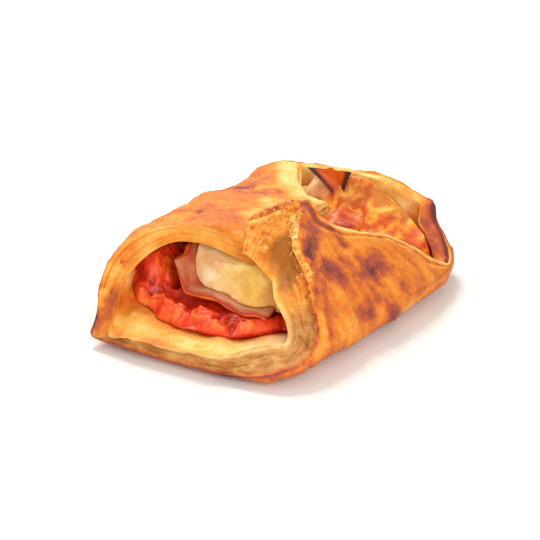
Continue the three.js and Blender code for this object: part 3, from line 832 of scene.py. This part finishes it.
def sandwich(name, lower, upper):
    """A closed solid between two grids of points."""
    along, across = lower.shape[0] - 1, lower.shape[1] - 1
    rings = np.concatenate([lower, upper[:, ::-1]], axis=1)
    size = rings.shape[1]
    faces = ring_faces(along + 1, size)
    for ring, flip in ((0, False), (along, True)):
        base = ring * size
        for j in range(across):
            quad = (base + j, base + j + 1, base + size - 2 - j, base + size - 1 - j)
            faces.append(quad[::-1] if flip else quad)
    return closed_solid(name, rings.reshape(-1, 3), faces)


def cut(obj, other, operation):
    modifier = obj.modifiers.new("cut", "BOOLEAN")
    modifier.operation = operation
    modifier.solver = "MANIFOLD"
    modifier.object = other
    graph = bpy.context.evaluated_depsgraph_get()
    mesh = bpy.data.meshes.new_from_object(obj.evaluated_get(graph))
    obj.modifiers.clear()
    obj.data = mesh
    return obj


def drop(*objects):
    for o in objects:
        bpy.data.objects.remove(o)


def loose_bodies(mesh):
    """A number for every vertex, the same for all that hang together."""
    edges = np.zeros(len(mesh.edges) * 2, np.int32)
    mesh.edges.foreach_get("vertices", edges)
    start, end = edges.reshape(-1, 2).T
    label = np.arange(len(mesh.vertices))
    while True:
        low = np.minimum(label[start], label[end])
        before = label.copy()
        np.minimum.at(label, start, low)
        np.minimum.at(label, end, low)
        label = label[label]
        if np.array_equal(label, before):
            return label


def keep_largest(obj):
    """Keeps the largest of an object's loose bodies."""
    label = loose_bodies(obj.data)
    names, count = np.unique(label, return_counts=True)
    rest = np.nonzero(label != names[np.argmax(count)])[0]
    bm = bmesh.new()
    bm.from_mesh(obj.data)
    bm.verts.ensure_lookup_table()
    bmesh.ops.delete(bm, geom=[bm.verts[i] for i in rest], context="VERTS")
    bmesh.ops.triangulate(bm, faces=bm.faces)
    bm.to_mesh(obj.data)
    bm.free()
    return obj


HAM_THICK, HAM_FRONT, HAM_END = 2.6, -36, 34

# Sauce: a shallow lumpy bed that climbs the left wall and pools against the far wall.
SAUCE_BED, SAUCE_LEFT_RISE, SAUCE_WALL_RISE, SAUCE_FRONT = 9.6, 20, 17, -47
SAUCE_LEFT_TURN, SAUCE_RIGHT_TURN = 2.4, 20


def sauce_front(y):
    turn = np.where(y > 0, SAUCE_LEFT_TURN, SAUCE_RIGHT_TURN)
    ripple = 0.8 * np.sin(y / 2.3) * np.sin(y / 5.1)
    return SAUCE_FRONT + np.minimum(turn * (np.abs(y) / 24) ** 2.4, 15) + ripple


def sauce_top(x, y):
    risen = smooth(-1, 13, x - sauce_front(y)) * (1 - 0.5 * smooth(-20, 0, x))
    left = SAUCE_LEFT_RISE * smooth(18, 38, y) * risen
    pool = SAUCE_WALL_RISE * bump(x, 55, 7) * bump(y, 0, 7)
    chunks = 0.7 * np.sin(x / 2.6 + y / 4.1) * np.sin(y / 3.2 - x / 5.3)
    thin = 1.6 * fade(0, 6, x - sauce_front(y))
    open_bed = SAUCE_BED + 1.0 * smooth(-46, -36, x) + left + pool + chunks - thin
    under_ham = smooth(HAM_FRONT + 2, HAM_FRONT + 9, x) * fade(2, 14, x)
    under_ham = under_ham * smooth(-21, -16, y) * fade(16, 22, y)
    held_up = ham_middle(x, y) - HAM_THICK / 2 - 2 * GAP
    return open_bed + (np.maximum(held_up, open_bed) - open_bed) * under_ham


def flat_points(x, y):
    return np.stack([x, y, np.zeros_like(x)], -1)


def sauce_lumps(x, y):
    """Diced tomato and thick pulp drawn out in folds."""
    p = flat_points(x, y)
    p = p + 2.2 * np.stack([noise(p, 7, 3), noise(p, 7, 4), 0 * x], -1)
    dice = smooth(-0.15, 0.45, noise(p, 4.6, 11)) * 1.3
    folds = 1.6 * (ridges(p * [0.55, 1.0, 1], 3.6, 12) - 0.6)
    return dice + folds + 0.45 * fractal(p, 1.6, 13, 2)


def near_ham(x, y):
    return smooth(HAM_FRONT - 2, HAM_FRONT + 1, x) * smooth(-22, -18, y) * fade(16, 22, y)


SLAB_SIDE, SLAB_WIDTH = -46, 92


def sauce_patch(u, v):
    y = SLAB_SIDE + SLAB_WIDTH * v
    front = sauce_front(y)
    return front + (SLAB_END - front) * u, y


def sauce_solid(grow, lumpy):
    def patch(u, v):
        x, y = sauce_patch(u, v)
        return x - 2 * grow * (1 - u), y

    def top(x, y):
        lumps = sauce_lumps(x, y) * lumpy * smooth(-0.5, 1.5, x - sauce_front(y))
        return sauce_top(x, y) + grow + lumps * (1 - 0.9 * near_ham(x, y))

    return slab("tomato_sauce_filling", patch, lambda x, y: 0 * x, top)


# Ham: a slice lying on the sauce, its left side standing up the wall, its far end lifted.
HAM_ROUND, HAM_LENGTH, HAM_WIDTH = 1.6, 68, 40
HAM_ALONG, HAM_ACROSS = 131, 101


def ham_middle(x, y):
    base = 11 + 4 * smooth(-16, 14, y) + 11 * smooth(14, 22, y)
    rise = smooth(-33, -12, x)
    far = 25.8 - 0.03 * (y + 15) ** 2
    ripple = 0.5 * np.sin(y / 2.7 + x / 6)
    return base + 4 * rise + (far - base - 4 * rise) * smooth(0, 24, x) + ripple


def ham_patch(u, v):
    near_x = HAM_FRONT + 2 * smooth(0.75, 1, v) + 0.5 + 0.5 * np.sin(23 * v) * np.sin(9 * v)
    near_y = -17 + HAM_WIDTH * v
    far_x, far_y = HAM_END - 5 * (2 * v - 1) ** 4, -22 + 13 * v
    s = u ** 0.9
    return near_x + (far_x - near_x) * s, near_y + (far_y - near_y) * smooth(0.1, 1, s)


def ham_solid(grow, name="ham_slices"):
    """The slice, rounded at its rim and a little wrinkled."""
    u, v = np.meshgrid(np.linspace(0, 1, HAM_ALONG), np.linspace(0, 1, HAM_ACROSS), indexing="ij")
    u, v = crowd(u, 0.12), crowd(v, 0.12)
    x, y = ham_patch(u, v)
    x = x + grow * 1.4 * (2 * u - 1)
    y = y + grow * 1.4 * (2 * v - 1)
    to_rim = np.minimum(np.minimum(u, 1 - u) * HAM_LENGTH, np.minimum(v, 1 - v) * HAM_WIDTH)
    half = HAM_THICK / 2 * np.sqrt(1 - (1 - np.clip(to_rim / HAM_ROUND, 0, 0.98)) ** 2) + grow
    wrinkles = 0.25 + 1.1 * smooth(8, 20, x)
    middle = ham_middle(x, y) + wrinkles * noise(flat_points(x, y), 4, 71)
    return sandwich(name, np.stack([x, y, middle - half], -1), np.stack([x, y, middle + half], -1))


# Cheese: a smooth melted mass over the ham that runs through to the far wall.
CHEESE_FRONT, CHEESE_BOW, CHEESE_NEAR_LEVEL, CHEESE_SWELL, CHEESE_SLOPE = -32, 0.012, 12.5, 19, 15
CHEESE_FAR_LEVEL, CHEESE_WALL_LEVEL, CHEESE_WALL_FALL = 16, 31.6, 7.6
CHEESE_NEAR_WIDTH, CHEESE_WIDENS = 63, 27


def cheese_front(y):
    return CHEESE_FRONT + CHEESE_BOW * (y + 2) ** 2


def cheese_top(x, y):
    front = cheese_front(y)
    swell = CHEESE_SWELL * np.sin(np.pi / 2 * np.clip((x - front) / CHEESE_SLOPE, 0, 1))
    near = CHEESE_NEAR_LEVEL + 3.5 * smooth(-16, 12, y) + swell + 0.4 * np.sin(y / 3 + x / 4)
    wall = CHEESE_WALL_LEVEL - CHEESE_WALL_FALL * fade(-42, -12, y)
    climb = np.clip((x - 28) / 26.2, 0, 1) ** 2.2
    lumps = 0.5 * np.sin(x / 3.4 + 1) * np.sin(y / 4.2)
    far = CHEESE_FAR_LEVEL + (wall - CHEESE_FAR_LEVEL) * climb + lumps
    return near + (far - near) * smooth(2, 26, x)


def cheese_patch(u, v):
    y = SLAB_SIDE + (CHEESE_NEAR_WIDTH + CHEESE_WIDENS * smooth(0.15, 0.4, u)) * v
    front = cheese_front(y)
    return front + (SLAB_END - front) * u, y


def cheese_bottom(x, y):
    """Over the ham at the near end, down to the sheet elsewhere."""
    over_ham = fade(4, 12, x) * smooth(-24, -19, y) * fade(22, 27, y)
    return 2 + (ham_middle(x, y) - 2) * over_ham


def cheese_solid():
    return slab("melted_cheese", cheese_patch, cheese_bottom, cheese_top, CHEESE_COLUMNS)


# Bacon: a small curled slice standing in the far opening like a folded leaf.
BACON_FOOT, BACON_LEFT = np.array([49, -3.5, 20.5]), np.array([51, 12.5, 33.5])
BACON_BACK, BACON_RIGHT, BACON_THICK = np.array([53.2, 6, 35]), np.array([53, -5.5, 34]), 1.5
BACON_START, BACON_ROWS, BACON_COLUMNS = 0.12, 40, 60


def bacon():
    """The slice between its foot and a curved rim, curled across and ragged at the top."""
    up = np.linspace(BACON_START, 1, BACON_ROWS)[:, None, None]
    across = np.linspace(0, 1, BACON_COLUMNS)[None, :, None]
    left, back, right = (1 - across) ** 2, 3.2 * across * (1 - across), across ** 2
    rim = (left * BACON_LEFT + back * BACON_BACK + right * BACON_RIGHT) / (left + back + right)
    hollow = 1.6 * arch(up) * arch(across)
    curl = 0.8 * np.sin(7 * across + 1) * up
    ragged = (np.sin(11 * across + 2) - 1) * up ** 3 * arch(across)
    bow = -1.3 * arch(up) * (1 - 2 * across)
    rise = np.concatenate([up ** 0.85, up, up], -1)
    bent = np.concatenate([hollow, curl + bow, ragged], -1)
    middle = BACON_FOOT + (rim - BACON_FOOT) * rise + bent
    offset = np.array([-0.7 * BACON_THICK, -0.5 * BACON_THICK, 0.3])
    rings = np.concatenate([middle, (middle + offset)[:, ::-1]], axis=1)
    return ring_solid("bacon_slice", rings)


def fillings():
    inside = room()
    sauce = keep_largest(cut(sauce_solid(0, 1), inside, "INTERSECT"))
    sauce_room = sauce_solid(2 * GAP, 1)
    ham_room = ham_solid(2 * GAP, "ham_room")
    ham = cut(cut(ham_solid(0), inside, "INTERSECT"), sauce_room, "DIFFERENCE")
    cheese = cut(cut(cheese_solid(), inside, "INTERSECT"), sauce_room, "DIFFERENCE")
    cheese = keep_largest(cut(cheese, ham_room, "DIFFERENCE"))
    drop(inside, sauce_room, ham_room)
    return sauce, keep_largest(ham), cheese


# Where the fillings are stained, browned or charred.

PINK_SPOTS = (((-27, 10, 26), (-28, 6, 25), 2.6, 0.75), ((-30, -12, 19), (-31, -16, 16), 2.2, 0.45))


def mark_sauce(obj):
    x, y, z = points_of(obj).T
    at_front = fade(1, 7, x - sauce_front(y))
    # Colour follows height: dark red low between the lumps, partly painted shade in the hollows, and brighter
    # near the front edge.
    set_value(obj, "height", 0.40 + 0.24 * (z - sauce_top(x, y) - 0.8) + 0.22 * at_front)


def mark_ham(obj):
    p = points_of(obj)
    x, y, z = p.T
    standing = smooth(8, 16, y) * fade(5, 15, x)
    stain = 0.10 + 0.12 * standing + 0.52 * smooth(-0.9, 0.2, ham_middle(x, y) - z)
    stain = stain + 0.42 * fade(0.9, 3.0, x - HAM_FRONT) + 0.62 * smooth(10, 20, x)
    set_value(obj, "stain", stain + 0.20 * fractal(p, 5, 72, 3))


def mark_cheese(obj):
    p = points_of(obj)
    x, y, z = p.T
    front = fade(-20, -8, x) * fade(0, 4.5, z - ham_middle(x, y) - 0.8)
    pale_lobe = 0.8 * smooth(6, 14, y) * smooth(30, 38, x)
    by_wall = 0.38 * smooth(45, 52, x)
    brown = np.clip(1.0 + 0.25 * fractal(p, 6, 81, 2) - pale_lobe - by_wall, 0, 1)
    set_value(obj, "brown", smooth(14, 30, x) * brown)
    set_value(obj, "white", smooth(-12, 8, y + 3 * fractal(p, 8, 82, 3)))
    set_value(obj, "stain", 0.35 * front + strokes(p, PINK_SPOTS))


def mark_bacon(obj):
    y, z = points_of(obj).T[1:]
    rise = np.clip((z - BACON_FOOT[2]) / (BACON_LEFT[2] - BACON_FOOT[2]), 0.05, 1)
    left = BACON_FOOT[1] + (BACON_LEFT[1] - BACON_FOOT[1]) * rise - y
    right = y - BACON_FOOT[1] - (BACON_RIGHT[1] - BACON_FOOT[1]) * rise
    burnt = np.maximum(fade(1.8, 4.4, left), fade(1.8, 4.2, right))
    foot = fade(0.25, 0.75, rise)
    set_value(obj, "char", 0.12 + 0.75 * np.maximum(burnt, 0.8 * foot))


# Materials. The meshes carry values from 0 to 1 at their points, which the materials read by name.

def colour(r, g, b):
    """A colour given as it looks on a screen, 0 to 255, as linear values."""
    c = [v / 255 for v in (r, g, b)]
    return [v / 12.92 if v <= 0.04045 else ((v + 0.055) / 1.055) ** 2.4 for v in c] + [1.0]


def plain_material(name, rgb, roughness):
    mat = bpy.data.materials.new(name)
    mat.use_nodes = True
    shader = mat.node_tree.nodes["Principled BSDF"]
    shader.inputs["Base Color"].default_value = colour(*rgb)
    shader.inputs["Roughness"].default_value = roughness
    return mat


# How far red, green and blue light spread under the surface of food.
SCATTER_COLOUR = (1.0, 0.5, 0.25)
COAT_ROUGHNESS, SPECULAR = 0.18, 0.25


class Nodes:
    """Short calls for the nodes of one material."""

    def __init__(self, name):
        self.material = bpy.data.materials.new(name)
        self.material.use_nodes = True
        self.tree = self.material.node_tree
        self.shader = self.tree.nodes["Principled BSDF"]
        self.place = self.tree.nodes.new("ShaderNodeTexCoord").outputs["Object"]

    def link(self, value, socket):
        if isinstance(value, bpy.types.NodeSocket):
            self.tree.links.new(value, socket)
        else:
            socket.default_value = value

    def node(self, kind, inputs, **settings):
        """A new node with its settings, and its inputs set or linked."""
        node = self.tree.nodes.new("ShaderNode" + kind)
        for name, value in settings.items():
            setattr(node, name, value)
        for key, value in inputs.items():
            self.link(value, node.inputs[key])
        return node

    def value(self, name):
        return self.node("Attribute", {}, attribute_name=name).outputs["Fac"]

    def noise(self, size, detail=4, roughness=0.55, warp=0.0, stretch=(1, 1, 1)):
        """Noise of that size in millimetres."""
        place = self.node("Mapping", {"Vector": self.place, "Scale": stretch}).outputs[0]
        inputs = {"Vector": place, "Scale": 1 / (size * MM), "Detail": detail, "Roughness": roughness}
        return self.node("TexNoise", {**inputs, "Distortion": warp}).outputs["Fac"]

    def math(self, operation, *values):
        return self.node("Math", dict(enumerate(values)), operation=operation).outputs[0]

    def tone(self, name, *noises):
        """A value of the mesh, made uneven by noises, each with its amount."""
        value = self.value(name)
        for noise, amount in noises:
            value = self.math("ADD", value, self.math("MULTIPLY_ADD", noise, 2.0 * amount, -amount))
        return value

    def step(self, value, low, high):
        inputs = {"Value": value, "From Min": low, "From Max": high}
        return self.node("MapRange", inputs, interpolation_type="SMOOTHSTEP").outputs["Result"]

    def ramp(self, value, stops):
        node = self.node("ValToRGB", {"Fac": value})
        elements = node.color_ramp.elements
        while len(elements) < len(stops):
            elements.new(0.5)
        for element, (at, rgb) in zip(elements, stops):
            element.position = at
            element.color = colour(*rgb)
        return node.outputs["Color"]

    def mix(self, share, a, b):
        """A mix of two colours, which are the node's inputs 6 and 7."""
        return self.node("Mix", {0: share, 6: a, 7: b}, data_type="RGBA").outputs[2]

    def bump(self, depth, strength, *noises):
        """Fine relief from noises, each with its weight."""
        height = 0.0
        for noise, weight in noises:
            height = self.math("MULTIPLY_ADD", noise, weight, height)
        node = self.node("Bump", {"Strength": strength, "Distance": depth * MM, "Height": height})
        self.link(node.outputs["Normal"], self.shader.inputs["Normal"])

    def finish(self, base, roughness, scatter=0.0, radius=1.0, coat=0.0):
        """Colour and gloss; scatter is the share of light that spreads under the surface."""
        self.link(base, self.shader.inputs["Base Color"])
        self.link(roughness, self.shader.inputs["Roughness"])
        values = {"Subsurface Weight": scatter, "Subsurface Radius": SCATTER_COLOUR,
                  "Subsurface Scale": radius * MM, "Coat Weight": coat, "Coat Roughness": COAT_ROUGHNESS,
                  "Specular IOR Level": SPECULAR}
        for name, value in values.items():
            self.shader.inputs[name].default_value = value
        return self.material


# Colours from 0 to 255, as they look on a screen, at places from 0 to 1 on their ramp.
CRUST = (
    (0.00, (252, 232, 184)), (0.18, (248, 212, 132)), (0.34, (240, 182, 88)), (0.50, (232, 150, 52)),
    (0.64, (218, 118, 34)), (0.78, (184, 86, 46)), (0.90, (148, 68, 56)), (1.00, (104, 46, 44)),
)
CRUMB = ((0.22, (232, 196, 132)), (0.42, (204, 148, 80)), (0.58, (178, 112, 48)), (0.78, (140, 74, 28)))
# The hollow under the folded tip: greasy dough, darkened partly as painted shade.
OIL_AND_SHADE = ((0.3, (138, 76, 14)), (0.7, (180, 110, 32)))
SAUCE_SOAKED = ((0.35, (206, 70, 20)), (0.65, (236, 138, 44)))
SAUCE = ((0.08, (160, 22, 10)), (0.32, (212, 48, 16)), (0.58, (238, 80, 26)), (0.95, (250, 132, 56)))
HAM = ((0.05, (208, 140, 100)), (0.34, (180, 80, 50)), (0.60, (170, 42, 16)), (0.9, (218, 106, 26)))
CHEESE_YELLOW = ((0.30, (204, 150, 50)), (0.52, (224, 178, 76)), (0.72, (238, 202, 112)))
CHEESE_WHITE = ((0.30, (232, 186, 116)), (0.52, (242, 208, 146)), (0.72, (250, 228, 188)))
CHEESE_BROWN = ((0.36, (180, 54, 2)), (0.50, (208, 88, 4)), (0.62, (236, 146, 22)), (0.74, (250, 198, 80)))
CHEESE_PINK = ((0.3, (214, 96, 46)), (0.7, (236, 150, 90)))
CHEESE_SPOT = (188, 66, 12)
BACON = ((0.10, (228, 104, 34)), (0.40, (196, 70, 28)), (0.60, (132, 46, 28)), (0.85, (74, 30, 24)))


def puff_pastry():
    """Baked dough, from pale leaves to charred spots, with a thin egg glaze."""
    n = Nodes("puff_pastry")
    mottle = n.noise(1.6, 5, 0.6, 0.4)
    speckle = n.noise(0.5, 3, 0.6)
    cloud = n.noise(6.0, 4, 0.6, 0.6)
    streak = n.noise(2.4, 5, 0.65, 0.6, (1, 0.3, 0.3))
    bake = n.tone("bake", (mottle, 0.12), (cloud, 0.12), (speckle, 0.09), (streak, 0.15))
    base = n.mix(n.value("crumb"), n.ramp(bake, CRUST), n.ramp(bake, CRUMB))
    # Darker in the hollow under the tip: greasy dough, partly painted shade.
    base = n.mix(n.math("MULTIPLY", n.value("oily_and_shaded"), 0.85), base, n.ramp(cloud, OIL_AND_SHADE))
    base = n.mix(n.math("MULTIPLY", n.value("stain"), 0.8), base, n.ramp(cloud, SAUCE_SOAKED))
    n.bump(0.6, 0.8, (mottle, 0.8), (speckle, 0.35))
    return n.finish(base, n.math("MULTIPLY_ADD", mottle, 0.3, 0.42), 0.08, 1.0, 0.03)


def tomato_sauce():
    """Thick sauce: orange on its lumps and dark red between them, the dark partly painted shade in the
    hollows.
    """
    n = Nodes("tomato_sauce")
    pulp = n.noise(2.2, 5, 0.6, 0.8)
    fine = n.noise(0.7, 3, 0.6)
    shreds = n.noise(1.3, 4, 0.6, 1.2, (0.5, 1, 1))
    base = n.ramp(n.tone("height", (pulp, 0.24), (shreds, 0.20)), SAUCE)
    n.bump(0.6, 0.8, (pulp, 1), (shreds, 0.8), (fine, 0.25))
    return n.finish(base, 0.30, 0.15, 1.2, 0.25)


def cooked_ham():
    """Pink and pale, stained by the sauce towards its edges."""
    n = Nodes("cooked_ham")
    grain = n.noise(2.4, 5, 0.6, 0.5, (1, 0.5, 1))
    fine = n.noise(0.6, 3, 0.5)
    n.bump(0.25, 0.5, (grain, 1), (fine, 0.4))
    return n.finish(n.ramp(n.tone("stain", (grain, 0.15)), HAM), 0.42, 0.15, 2.0, 0.1)


def melted_cheese():
    """Smooth and creamy at the near end, browned and greasy at the far end."""
    n = Nodes("melted_cheese")
    cloud = n.noise(5.0, 4, 0.55, 0.5)
    spots = n.step(n.noise(3.2, 3, 0.5, 0.3), 0.56, 0.70)
    fine = n.noise(1.1, 3, 0.5)
    brown = n.value("brown")
    cream = n.mix(n.value("white"), n.ramp(cloud, CHEESE_YELLOW), n.ramp(cloud, CHEESE_WHITE))
    base = n.mix(brown, cream, n.ramp(cloud, CHEESE_BROWN))
    base = n.mix(n.math("MULTIPLY", spots, n.math("MULTIPLY", brown, 0.7)), base, colour(*CHEESE_SPOT))
    base = n.mix(n.math("MULTIPLY", n.value("stain"), 0.85), base, n.ramp(fine, CHEESE_PINK))
    n.bump(0.5, 0.6, (cloud, 1), (fine, 0.3))
    return n.finish(base, n.math("MULTIPLY_ADD", brown, 0.4, 0.26), 0.2, 1.6, 0.06)


def fried_bacon():
    """Orange and glossy, charred at its foot and edges."""
    n = Nodes("fried_bacon")
    grain = n.noise(1.2, 4, 0.6, 0.4, (1, 1, 0.4))
    n.bump(0.4, 0.8, (grain, 1))
    return n.finish(n.ramp(n.tone("char", (grain, 0.18)), BACON), 0.28, 0.1, 1.0, 0.3)


# Camera, light and floor.

# The photograph's view: its size and the part's middle in pixels, and the angles it was taken at.
PHOTO_SIZE, PHOTO_CENTRE, PIXELS_PER_MM = 540, (272, 301), 2.76
ELEVATION, YAW, DISTANCE = math.radians(25), math.radians(60.8), 480
SENSOR = 36


def aim(name, data, location, direction):
    """A camera or a lamp at that place, looking that way."""
    obj = bpy.data.objects.new(name, data)
    bpy.context.scene.collection.objects.link(obj)
    obj.location = location
    obj.rotation_mode = "QUATERNION"
    obj.rotation_quaternion = direction.to_track_quat("-Z", "Y")
    return obj


def camera():
    level, middle = math.cos(ELEVATION), (PHOTO_SIZE - 1) / 2
    forward = Vector((math.sin(YAW) * level, math.cos(YAW) * level, -math.sin(ELEVATION)))
    data = bpy.data.cameras.new("camera")
    data.sensor_width = SENSOR
    data.lens = SENSOR * PIXELS_PER_MM * DISTANCE / PHOTO_SIZE
    data.shift_x = (middle - PHOTO_CENTRE[0]) / PHOTO_SIZE
    data.shift_y = (PHOTO_CENTRE[1] - middle) / PHOTO_SIZE
    data.clip_start, data.clip_end = 0.01, 20
    bpy.context.scene.camera = aim("camera", data, (Vector(SHIFT) - forward * DISTANCE) * MM, forward)


def area_light(name, location, target, size, power, rgb):
    data = bpy.data.lights.new(name, "AREA")
    data.shape = "DISK"
    data.size, data.energy, data.color = size, power, rgb
    aim(name, data, location, Vector(target) - Vector(location))


WORLD_COLOUR, WORLD_STRENGTH = (1.0, 0.985, 0.96, 1), 0.66
# The lamps: name, place and target in metres, size, power and colour.
LAMPS = (
    ("key", (0.25, 0.30, 0.55), (0, 0, 0.02), 0.35, 3.7, (1, 0.97, 0.92)),
    ("front", (-0.38, -0.48, 0.34), (0, 0, 0.02), 0.4, 2.2, (1, 0.98, 0.95)),
    ("fill", (-0.55, -0.05, 0.12), (-0.04, 0, 0.02), 0.3, 0.4, (1, 0.96, 0.90)),
)
FLOOR_HALF, FLOOR_DROP, FLOOR_COLOUR = 3.0, 0.0003, (240, 238, 235)


def studio():
    world = bpy.data.worlds.new("studio")
    bpy.context.scene.world = world
    world.use_nodes = True
    back = world.node_tree.nodes["Background"]
    back.inputs["Color"].default_value = WORLD_COLOUR
    back.inputs["Strength"].default_value = WORLD_STRENGTH
    for lamp in LAMPS:
        area_light(*lamp)
    bpy.context.scene.view_settings.view_transform = "Standard"
    corners = np.array([[-1, -1, 0], [1, -1, 0], [1, 1, 0], [-1, 1, 0]]) * FLOOR_HALF
    floor = new_object("floor", corners / MM - SHIFT, [(0, 1, 2, 3)])
    floor.location.z = -FLOOR_DROP
    floor.data.materials.append(plain_material("floor", FLOOR_COLOUR, 0.9))
    floor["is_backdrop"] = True


def dress(obj, material, node=None):
    obj.data.polygons.foreach_set("use_smooth", [True] * len(obj.data.polygons))
    obj.data.materials.clear()
    obj.data.materials.append(material)
    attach(obj, "root")
    if node:
        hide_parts(node)


def build():
    sauce, ham, cheese = fillings()
    curl = bacon()
    mark_sauce(sauce)
    mark_ham(ham)
    mark_cheese(cheese)
    mark_bacon(curl)
    shell, loose = pastry()
    crust = puff_pastry()
    dress(shell, crust, "pastry")
    dress(loose, crust)
    dress(sauce, tomato_sauce(), "tomato_sauce")
    dress(ham, cooked_ham(), "ham_slice")
    dress(cheese, melted_cheese(), "cheese")
    dress(curl, fried_bacon(), "bacon_curl")


camera()
studio()
build()
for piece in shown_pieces():
    print(piece.name, len(piece.data.vertices), len(piece.data.polygons))
